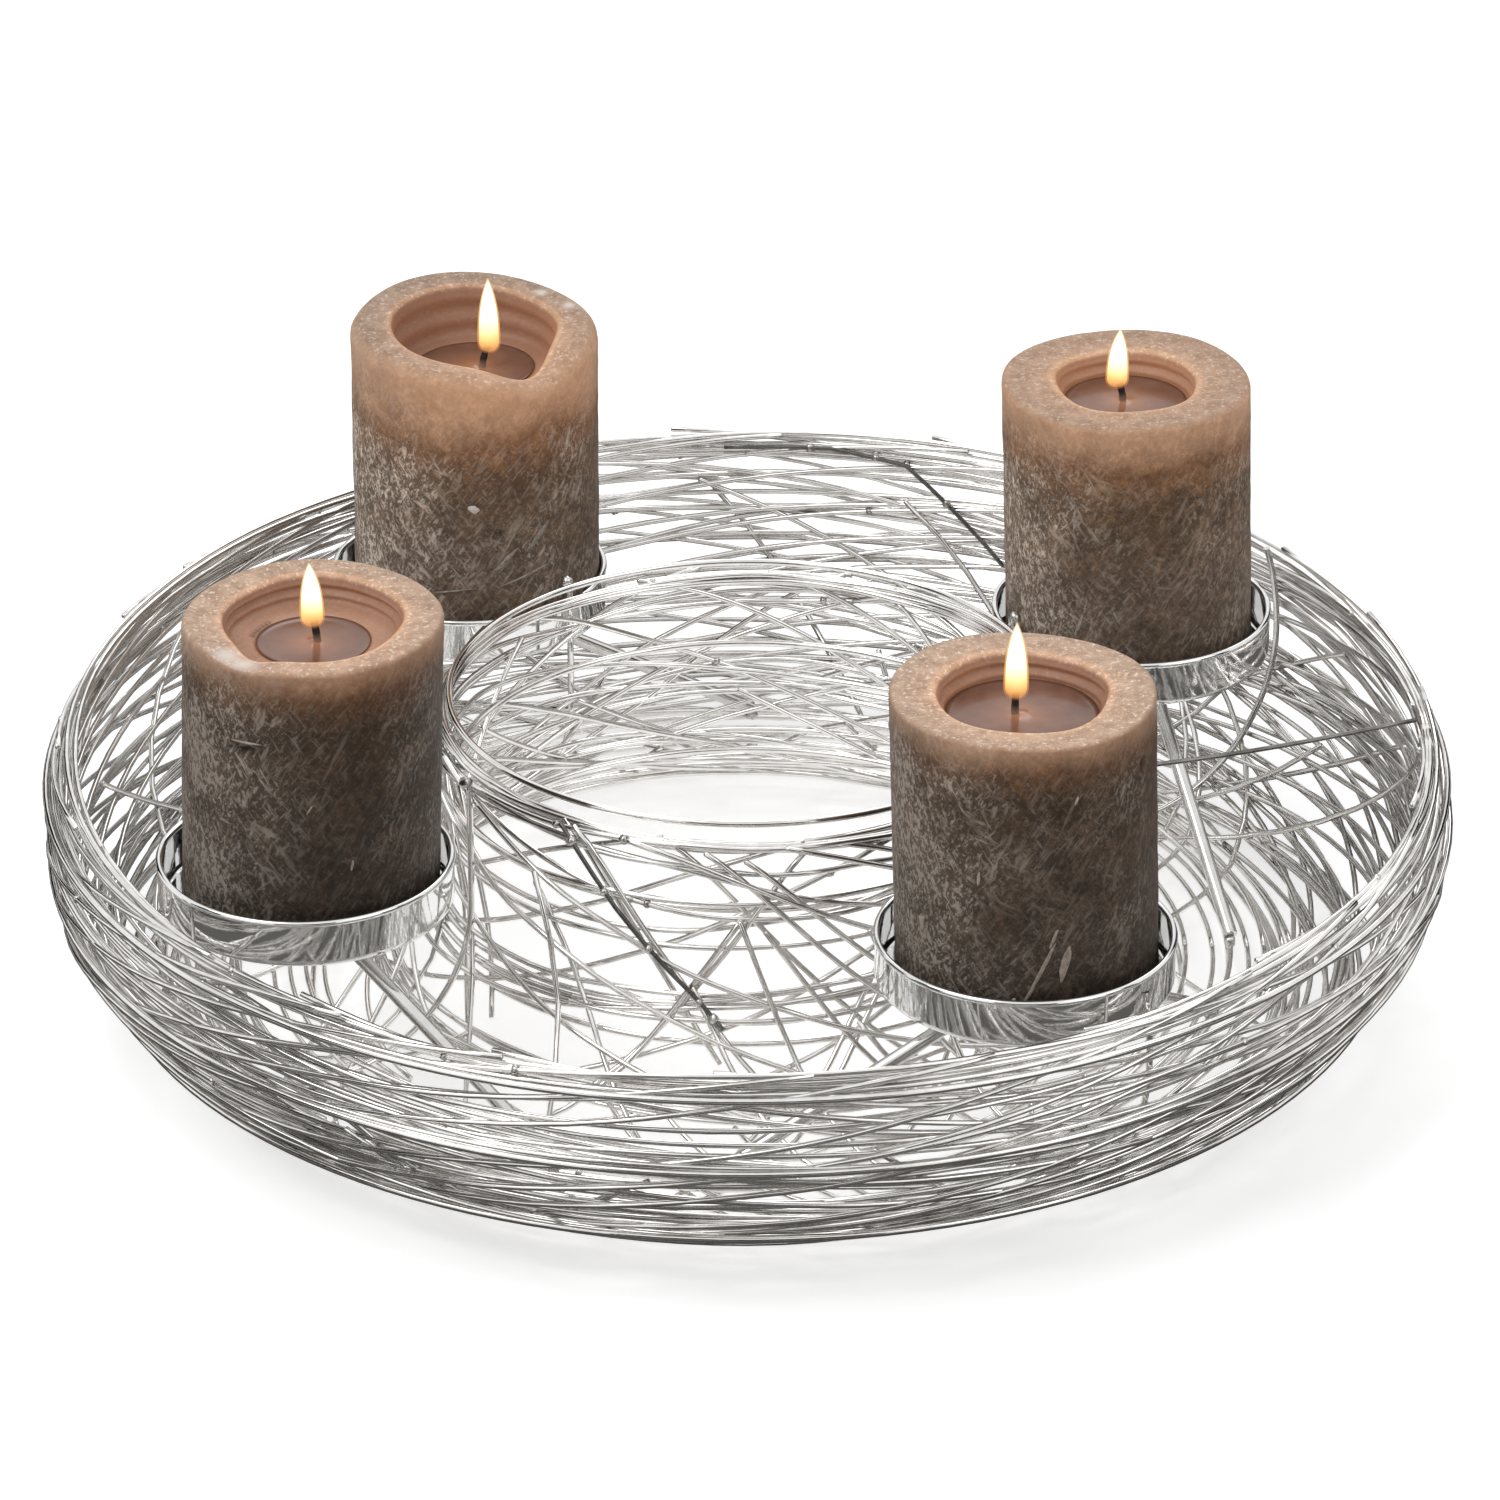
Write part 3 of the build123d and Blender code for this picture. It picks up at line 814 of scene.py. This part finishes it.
# What the four candles share
FOOT_CENTRE_SHARE = 0.6
FOOT_BEVEL = 0.0015
FOOT_EDGE = 0.0004
RIM_WAVE = 0.0004
RIM_PHASE = 900
POOL_OVAL_SHARE = 0.02
POOL_WAVE_SHARE = 0.012
POOL_PHASE = 700
NOTCH_POOL_SHARE = 0.5
LIP = 0.0018
LIP_DROP = 0.0006
LIP_WET_STEP = 0.25
LIP_DRY_RINGS = 2
POOL_SLOPE = 0.0025
POOL_WET = 0.85
LEDGE_SHARE = 0.20
SHELF_FALL = 0.0004
WELL_EDGE = 0.0006
WELL_SLOPE = 0.002
WELL_DEPTH = 0.002


def top_distance(azimuth, radius, place, centre):
    """How far one spot on a candle's top is from another, each by azimuth and radius."""
    return math.hypot(math.radians(apart(azimuth, place)) * centre, radius - centre)


def scar_at(scar, azimuth, radius, z):
    """How much a scar marks a place on a candle's side, with z from the top down."""
    place, below, length, tall, _ = scar
    reach = math.radians(apart(azimuth, place)) * radius
    return bell(reach, length) * bell(z + below, tall)


def candle_side(spec, height, azimuth, top):
    """Radius, height and wetness from the foot up the side and round the rim's edge."""
    outer, edge = spec["radius"], spec["edge"]
    profile = [
        (outer * FOOT_CENTRE_SHARE, 0.0, 0.0),
        (outer - FOOT_BEVEL, 0.0, 0.0),
        (outer - FOOT_EDGE, FOOT_EDGE, 0.0),
    ]
    for k in range(SIDE_RINGS):
        z = FOOT_BEVEL + (top - edge - FOOT_BEVEL) * k / (SIDE_RINGS - 1)
        dent = sum(scar[-1] * scar_at(scar, azimuth, outer, z - height) for scar in spec["scars"])
        profile.append((outer - dent, z, 0.0))
    for k in range(1, EDGE_RINGS + 1):
        turn = math.radians(90 * k / EDGE_RINGS)
        profile.append((outer - edge + edge * math.cos(turn), top - edge + edge * math.sin(turn), 0.0))
    return profile


def candle_top(spec, azimuth, top, pool):
    """On over the flat top and the pool's soft lip."""
    flat = spec["radius"] - spec["edge"]
    inner_top = top - LIP_DROP
    profile = []
    for k in range(1, TOP_RINGS):
        t = k / TOP_RINGS
        radius = flat + (pool + LIP - flat) * t
        dent = 0.0
        for place, centre, spread, depth in spec["dents"]:
            dent += depth * bell(top_distance(azimuth, radius, place, centre), spread)
        profile.append((radius, top + (inner_top - top) * t - dent, 0.0))
    for k in range(EDGE_RINGS):
        turn = math.radians(90 * k / EDGE_RINGS)
        wetness = LIP_WET_STEP * max(k - LIP_DRY_RINGS, 0)
        profile.append((pool + LIP - LIP * math.sin(turn), inner_top - LIP + LIP * math.cos(turn), wetness))
    return profile


def candle_pool(spec, pool, wall_top, pool_z):
    """On down the pool's stepped wall, over its shelf and into the well."""
    well = spec["well"]
    shelf = pool - POOL_SLOPE
    profile = []
    for k in range(WALL_RINGS + 1):
        t = k / WALL_RINGS
        ledge = LEDGE_SHARE * math.sin(4 * math.pi * t)
        profile.append((pool - POOL_SLOPE * (t * t + ledge), wall_top + (pool_z - wall_top) * t, POOL_WET))
    for k in range(1, SHELF_RINGS):
        t = k / SHELF_RINGS
        profile.append((shelf + (well + WELL_EDGE - shelf) * t, pool_z - SHELF_FALL * t, POOL_WET))
    for k in range(WELL_RINGS + 1):
        t = k / WELL_RINGS
        z = pool_z - WELL_EDGE - (WELL_DEPTH - WELL_EDGE) * t * t
        profile.append((well - WELL_SLOPE * t, z, POOL_WET))
    for k in range(1, CENTRE_RINGS):
        profile.append(((well - WELL_SLOPE) * (1 - k / CENTRE_RINGS), pool_z - WELL_DEPTH, POOL_WET))
    return profile


def candle_profile(spec, height, azimuth):
    """Radius, height and wetness down one side of a candle, from its foot over the rim to the pool."""
    a = math.radians(azimuth)
    rise, highest = spec["tilt"]
    tilted = height + rise * math.cos(a - math.radians(highest))
    top = tilted + RIM_WAVE * math.sin(3 * a + spec["pool"] * RIM_PHASE)
    oval = POOL_OVAL_SHARE * math.sin(2 * a + spec["well"] * POOL_PHASE)
    pool = spec["pool"] * (1 + oval + POOL_WAVE_SHARE * math.sin(5 * a))
    for place, width, depth in spec["notches"]:
        dip = bell(apart(azimuth, place), width)
        top -= depth * dip
        pool += depth * NOTCH_POOL_SHARE * dip
    wall_top = top - LIP_DROP - LIP
    return [
        *candle_side(spec, height, azimuth, top),
        *candle_top(spec, azimuth, top, pool),
        *candle_pool(spec, pool, wall_top, height - spec["depth"]),
    ]


# Paint on a candle's points. Its last point is the middle of the pool
PAINTS = ("rise", "wet", "glow", "pale", "soot", "wear_and_light", "top")
MIDDLE_PAINT = (1.0, POOL_WET, 0.3, 0.0, 0.0, 0.0, 1.0)
SPOT_START = OVER_RIM - 3
# Painted flame light on the top and lip: the ring it starts after, how near the flame it is full, how fast it
# falls away, its most
FLAME_LIGHT_START = OVER_RIM + 3
FLAME_LIGHT_R = 0.014
FLAME_LIGHT_FALL = 0.007
FLAME_LIGHT_MOST = 0.8
FLAME_ABOVE = 0.002
LIP_GLOW = 0.45
LIP_GLOW_RINGS = 4
TOP_FADE_RINGS = 4
WORN_LEAST = 0.10


def spot_at(spots, azimuth, radius):
    """How much the nearest of some spots marks a place on a candle's top."""
    marks = [bell(top_distance(azimuth, radius, place, centre), size) for place, centre, size in spots]
    return max(marks, default=0.0)


def candle_paint(spec, height, ring, azimuth, outline, far):
    """The paints of one point, from its place on the outline and how far it is from the flame."""
    radius, z, wetness = outline
    chip = soot = flame_light = 0.0
    if ring > SPOT_START:
        chip = spot_at(spec["chips"], azimuth, radius)
        soot = spot_at(spec["soot"], azimuth, radius)
    # The scars are painted dark, as dark as the soot.
    if BASE_RINGS <= ring < OVER_RIM:
        soot = max([soot] + [scar_at(scar, azimuth, radius, z - height) for scar in spec["scars"]])
    # The flame's light is painted on: on the top near the flame, all round the lip, and shining through the
    # side under the rim.
    if ring > FLAME_LIGHT_START:
        flame_light = math.exp(-max(far - FLAME_LIGHT_R, 0) / FLAME_LIGHT_FALL) * FLAME_LIGHT_MOST
    if LIP_START <= ring < LIP_START + LIP_GLOW_RINGS:
        flame_light += LIP_GLOW
    reach, strength, lit_from, lit_width = spec["flame_light"]
    through = bell(height - z, reach) * strength * bell(apart(azimuth, lit_from), lit_width)
    # Wear and painted light: the patches are strongest on the left, where the light falls.
    wear_and_light = WORN_LEAST + sum(much * bell(apart(azimuth, at), wide) for at, wide, much in spec["wear_and_light"])
    rise = 1 - max(1 - z / height, 0) ** spec["fade"]
    top = min(max((ring - EDGE_START) / TOP_FADE_RINGS, 0), 1)
    return rise, wetness, flame_light + through, chip, soot, wear_and_light, top


# Unevenness of the wax as rate and size, and how far it also lifts the top
WAX_BUMPS = [(70, 0.00022), (260, 0.00010)]
TOP_LIFT = 0.6


def candle_mesh(name, spec):
    """One candle's worn wax, in the place of its solid. Gives the middle of its top."""
    low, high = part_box(f"candle_{name}")
    centre = (low + high) / 2
    height = high.z - low.z
    azimuths = [360 * s / CANDLE_SIDES for s in range(CANDLE_SIDES)]
    columns = [candle_profile(spec, height, azimuth) for azimuth in azimuths]
    rings = len(columns[0])
    foot_shift, top_shift = spec["slant"]
    foot = Vector((centre.x + foot_shift, centre.y, low.z))
    slant = (top_shift - foot_shift) / height
    flame = foot + Vector((slant * height + spec["wick"][0], 0, height + FLAME_ABOVE))
    points = [foot.copy()]
    paint = {key: [0.0] for key in PAINTS}
    for ring in range(rings):
        for azimuth, column in zip(azimuths, columns):
            radius, z, _ = column[ring]
            out = at_azimuth(azimuth, 1, TOP_LIFT if ring > OVER_RIM else 0)
            place = foot + at_azimuth(azimuth, radius, z) + Vector((slant * z, 0, 0))
            if ring >= BASE_RINGS:
                place += out * sum(noise.noise(place * rate) * size for rate, size in WAX_BUMPS)
            points.append(place)
            values = candle_paint(spec, height, ring, azimuth, column[ring], (place - flame).length)
            for key, value in zip(PAINTS, values):
                paint[key].append(value)
    middle = columns[0][-1][1]
    points.append(foot + Vector((slant * middle, 0, middle)))
    for key, value in zip(PAINTS, MIDDLE_PAINT):
        paint[key].append(value)
    # The tone paints light and shade on each candle: lighter at the back, darker at the front.
    for key in ("tone", "rim"):
        paint[key] = [spec[key]] * len(points)
    faces = lathe_faces(rings, CANDLE_SIDES)
    piece = make_piece(f"wax_{name}", points, faces, WAX, f"candle_{name}", paint)
    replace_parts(piece, f"candle_{name}")
    add_flakes(name, spec, foot, slant, height)
    return foot + Vector((slant * height, 0, height))


FLAKE_RISE = 0.0003
FLAKE_SEED = 90


def add_flakes(name, spec, foot, slant, height):
    """Thin scrapings that lie on a candle's side."""
    shapes, paleness = [], []
    for n, (azimuth, share, length, width, lean, pale) in enumerate(spec["flakes"]):
        unit, faces = blob((0, 0, 0), 1, FLAKE_SEED + n)
        turn = math.radians(lean)
        points = []
        for across, out, along in unit:
            side, up = across * width / 2, along * length / 2
            z = share * height + up * math.cos(turn) - side * math.sin(turn)
            around = (up * math.sin(turn) + side * math.cos(turn)) / spec["radius"]
            radius = spec["radius"] - out * FLAKE_RISE
            place = foot + at_azimuth(azimuth + math.degrees(around), radius, z) + Vector((slant * z, 0, 0))
            points.append(tuple(place))
        shapes.append((np.array(points), faces))
        paleness += [pale] * len(points)
    points, faces = joined(shapes)
    make_piece(f"flakes_{name}", points, faces, FLAKE, f"candle_{name}", {"pale": paleness})


def revolved(centre, profile, sides, shift=None):
    """Points and faces of a lathed form whose first and last profile points lie on its axis."""
    points = [Vector((centre[0], centre[1], profile[0][1]))]
    for n, (radius, z) in enumerate(profile[1:-1]):
        dx, dy = shift(n / (len(profile) - 3)) if shift else (0, 0)
        for s in range(sides):
            a = 2 * math.pi * s / sides
            x = centre[0] + dx + radius * math.cos(a)
            y = centre[1] + dy + radius * math.sin(a)
            points.append(Vector((x, y, z)))
    dx, dy = shift(1) if shift else (0, 0)
    points.append(Vector((centre[0] + dx, centre[1] + dy, profile[-1][1])))
    return points, lathe_faces(len(profile) - 2, sides)


# Molten wax: it fills the well, or brims over to the pool's wall, and climbs at its edge and at the wick
MELT_SIDES = 96
MELT_RINGS = 16
MELT_DEPTH = 0.0013
MELT_INSET = 0.0008
MELT_THICK = 0.0008
MELT_UNDER_SHARE = 0.97
BRIM_DEPTH = 0.0030
BRIM_SLOPE_SHARE = 0.9
MENISCUS = 0.0004
EDGE_CLIMB_FALL = 0.0008
WICK_CLIMB = 2.0
WICK_CLIMB_FALL = 0.0016
MIDDLE_CLIMB = 2.2
MELT_GLOW_R = 0.002
MELT_GLOW_FALL = 0.006


def melt_mesh(name, spec, centre):
    """The molten pool: a thin still lens. Gives its level."""
    bottom = centre.z - spec["depth"] - WELL_DEPTH
    level = bottom + (BRIM_DEPTH if spec["brimming"] else MELT_DEPTH)
    radius = spec["pool"] - POOL_SLOPE * BRIM_SLOPE_SHARE if spec["brimming"] else spec["well"] - MELT_INSET
    under = level - MELT_THICK
    profile = [(0, under), (radius * MELT_UNDER_SHARE, under), (radius, level + MENISCUS)]
    for k in range(1, MELT_RINGS):
        t = k / MELT_RINGS
        at_edge = math.exp(-t * radius / EDGE_CLIMB_FALL)
        at_wick = WICK_CLIMB * math.exp(-(1 - t) * radius / WICK_CLIMB_FALL)
        profile.append((radius * (1 - t), level + MENISCUS * (at_edge + at_wick)))
    profile.append((0, level + MENISCUS * MIDDLE_CLIMB))
    points, faces = revolved((centre.x, centre.y), profile, MELT_SIDES)
    away = [(p - Vector((centre.x, centre.y, p.z))).length for p in points]
    # The glow is painted flame light, strongest by the wick.
    glow = [math.exp(-max(far - MELT_GLOW_R, 0) / MELT_GLOW_FALL) for far in away]
    make_piece(f"melt_{name}", points, faces, MELT, f"candle_{name}", {"glow": glow})
    return level


# Wick: its width tapers from foot to tip, as shares of its radius
WICK_R = 0.00095
WICK_RISE = 0.0078
WICK_ROOT = 0.003
WICK_RINGS = 16
WICK_FOOT_SHARE = 1.25
WICK_TAPER_SHARE = 0.35
WICK_UNEVEN_SHARE = 0.12
WICK_UNEVEN_RATE = 900
WICK_BEND_X_POWER = 2.2
WICK_BEND_Y_POWER = 2
COAT_FULL = 1.35
COAT_RISE = 0.0022


def wick_mesh(name, spec, centre, level):
    """A bent burnt wick, its foot coated with wax. Gives its tip."""
    bend, shift = spec["bend"], spec["wick"]
    route, widths = [], []
    for k in range(WICK_RINGS):
        t = k / (WICK_RINGS - 1)
        x = centre.x + shift[0] + bend[0] * t**WICK_BEND_X_POWER
        y = centre.y + shift[1] + bend[1] * t**WICK_BEND_Y_POWER
        route.append(Vector((x, y, level - WICK_ROOT + (WICK_RISE + WICK_ROOT) * t)))
        swell = 1 + WICK_UNEVEN_SHARE * noise.noise(route[-1] * WICK_UNEVEN_RATE)
        widths.append((WICK_FOOT_SHARE - WICK_TAPER_SHARE * t) * swell)
    points, faces = tube(route, WICK_R, np.array(widths))
    coat = [min(max(COAT_FULL - (p[2] - level) / COAT_RISE, 0), 1) for p in points]
    piece = make_piece(f"burnt_wick_{name}", points, faces, WICK, f"candle_{name}", {"coat": coat})
    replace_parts(piece, f"wick_{name}")
    return route[-1]


FLAME_SIDES = 28
FLAME_RINGS = 30
FLAME_HEEL_SHARE = 0.14
FLAME_POWER = 3.2
ROOM_SHARE = 0.03
ROOM = 0.0095
FLAME_TOP = cad_high.z + ROOM_SHARE * (cad_high.z - cad_low.z) + ROOM
FLAME_W = 0.0066
FLAME_H = 0.0235
FLAME_OVERLAP = 0.0034
CORE_LIFT = Vector((0, 0, 0.0004))
CORE_H_SHARE = 0.95
CORE_W_SHARE = 0.86
EMBER_SHIFT = Vector((-0.0007, -0.0005, -0.0002))
EMBER_R = 0.0009
EMBER_SEED = 7
EMBER_HEAT = 0.5


def flame_mesh(name, part, foot, height, width, lean, material):
    """A candle flame: blunt at its foot, widest low down and drawn out to a tip."""
    profile = [(0, foot.z)]
    for k in range(1, FLAME_RINGS):
        t = k / FLAME_RINGS
        heel = min(t / FLAME_HEEL_SHARE, 1)
        radius = width / 2 * (1 - t**FLAME_POWER) * math.sqrt(heel * (2 - heel))
        profile.append((radius, foot.z + height * t))
    profile.append((0, foot.z + height))
    points, faces = revolved((foot.x, foot.y), profile, FLAME_SIDES, lambda t: (lean * t * t, 0))
    rise = [(p.z - foot.z) / height for p in points]
    make_piece(f"{part}_{name}", points, faces, material, f"candle_{name}", {"rise": rise})


for name, spec in CANDLES.items():
    centre = candle_mesh(name, spec)
    level = melt_mesh(name, spec, centre)
    tip = wick_mesh(name, spec, centre, level)
    foot = Vector((tip.x, tip.y, tip.z - FLAME_OVERLAP))
    height = min(FLAME_H, FLAME_TOP - foot.z)
    core_height, core_width = height * CORE_H_SHARE, FLAME_W * CORE_W_SHARE
    flame_mesh(name, "flame", foot + CORE_LIFT, core_height, core_width, spec["lean"], CORE)
    flame_mesh(name, "halo", foot, height, FLAME_W, spec["lean"], HALO)
    if name.startswith("front"):
        points, faces = blob(tip + EMBER_SHIFT, EMBER_R, EMBER_SEED)
        heat = {"rise": [EMBER_HEAT] * len(points)}
        make_piece(f"ember_{name}", points, faces, EMBER, f"candle_{name}", heat)


# Stage: a pale floor, and dark cards and a dark table top that only the metal reflects
def stage_piece(name, points, faces, material):
    mesh = bpy.data.meshes.new(name)
    mesh.from_pydata([tuple(p) for p in points], [], faces)
    mesh.materials.append(material)
    piece = bpy.data.objects.new(name, mesh)
    bpy.context.scene.collection.objects.link(piece)
    return piece


def only_reflected(piece):
    """Leaves a stage piece to be seen in reflections alone."""
    piece.visible_camera = False
    piece.visible_diffuse = False
    piece.visible_shadow = False


def shown_to_mirrors(tree):
    """1 for rays from the camera, and for those that metal or glass sends on."""
    path = add(tree, "ShaderNodeLightPath")
    seen = math_node(tree, "MAXIMUM", path.outputs["Is Camera Ray"], path.outputs["Is Glossy Ray"])
    return math_node(tree, "MAXIMUM", seen, path.outputs["Is Transmission Ray"])


def matt_material(name, colour, roughness):
    material, _ = new_material(name)
    inputs = {"Base Color": (*colour, 1), "Roughness": roughness, "Specular IOR Level": 0.0}
    return finished(material, inputs)


QUAD = [(0, 1, 2, 3)]
FLOOR_HALF = 9.0
FLOOR_DROP = 0.0003
FLOOR_LIFT = 0.57
floor_material = matt_material("pale_floor", (0.80, 0.80, 0.80), 0.9)
tree = floor_material.node_tree
lift = times(tree, shown_to_mirrors(tree), FLOOR_LIFT)
finished(floor_material, {"Emission Color": (1, 1, 1, 1), "Emission Strength": lift})
corners = [(x * FLOOR_HALF, y * FLOOR_HALF, -FLOOR_DROP) for x, y in ((-1, -1), (1, -1), (1, 1), (-1, 1))]
stage_piece("floor", corners, QUAD, floor_material)

# Upright cards round the object: azimuth in degrees, width and height in metres
CARD_DISTANCE = 3.0
CARDS = [
    ("card_front", 270, 2.4, 1.6),
    ("card_left", 195, 1.4, 2.2),
    ("card_right", 340, 1.4, 2.2),
    ("card_back_left", 125, 1.2, 1.8),
    ("card_back_right", 55, 1.2, 1.8),
]
card_material = matt_material("dark_card", (0.02, 0.02, 0.02), 1.0)
for name, azimuth, width, height in CARDS:
    centre = at_azimuth(azimuth, CARD_DISTANCE, 0)
    side = at_azimuth(azimuth + 90, width / 2, 0)
    up = Vector((0, 0, height))
    corners = [centre - side, centre + side, centre + side + up, centre - side + up]
    only_reflected(stage_piece(name, corners, QUAD, card_material))

# The table top, a ring, gives each wire a dark underside
TABLE_R = 0.75
TABLE_HOLE_R = 0.165
TABLE_SIDES = 48
table_material = matt_material("dark_table", (0.15, 0.143, 0.135), 1.0)
turns = [360 * s / TABLE_SIDES for s in range(TABLE_SIDES)]
rims = [at_azimuth(a, radius, -FLOOR_DROP / 2) for radius in (TABLE_HOLE_R, TABLE_R) for a in turns]
pairs = [(s, (s + 1) % TABLE_SIDES) for s in range(TABLE_SIDES)]
quads = [(s, t, TABLE_SIDES + t, TABLE_SIDES + s) for s, t in pairs]
only_reflected(stage_piece("table", rims, quads, table_material))

# Light: soft lamps over a pale sky. A lamp has its place and size in metres and its power in watts
WORLD_LIGHT = 0.45
LAMPS = [
    ("key_lamp", (-1.4, -0.7, 2.3), 1.6, 26),
    ("fill_lamp", (1.8, -1.2, 1.7), 1.6, 10),
    ("back_lamp", (0.3, 1.9, 2.2), 1.4, 14),
]
world = bpy.data.worlds.new("studio")
bpy.context.scene.world = world
world.use_nodes = True
tree = world.node_tree
light = math_node(tree, "ADD", times(tree, shown_to_mirrors(tree), 1 - WORLD_LIGHT), WORLD_LIGHT)
dress(tree, tree.nodes["Background"], {"Color": (1, 1, 1, 1), "Strength": light})
for name, place, size, power in LAMPS:
    lamp = bpy.data.lights.new(name, "AREA")
    lamp.shape = "SQUARE"
    lamp.size = size
    lamp.energy = power
    stand = bpy.data.objects.new(name, lamp)
    stand.location = place
    stand.rotation_euler = (-Vector(place)).to_track_quat("-Z", "Y").to_euler()
    bpy.context.scene.collection.objects.link(stand)

# Camera at the photograph's view
TARGET = Vector((0.00091, 0.0, 0.06864))
DISTANCE = 1.964
ELEVATION = math.radians(26.603)
ROLL = math.radians(-0.129)
LENS = 170.35
SENSOR = 36.0
FARTHEST = 50
camera_data = bpy.data.cameras.new("camera")
camera_data.lens = LENS
camera_data.sensor_width = SENSOR
camera_data.clip_end = FARTHEST
camera = bpy.data.objects.new("camera", camera_data)
back = Vector((0, -math.cos(ELEVATION), math.sin(ELEVATION)))
camera.location = TARGET + back * DISTANCE
camera.rotation_mode = "QUATERNION"
camera.rotation_quaternion = (-back).to_track_quat("-Z", "Y") @ Quaternion((0, 0, 1), ROLL)
bpy.context.scene.collection.objects.link(camera)
bpy.context.scene.camera = camera
bpy.context.scene.view_settings.view_transform = "Standard"
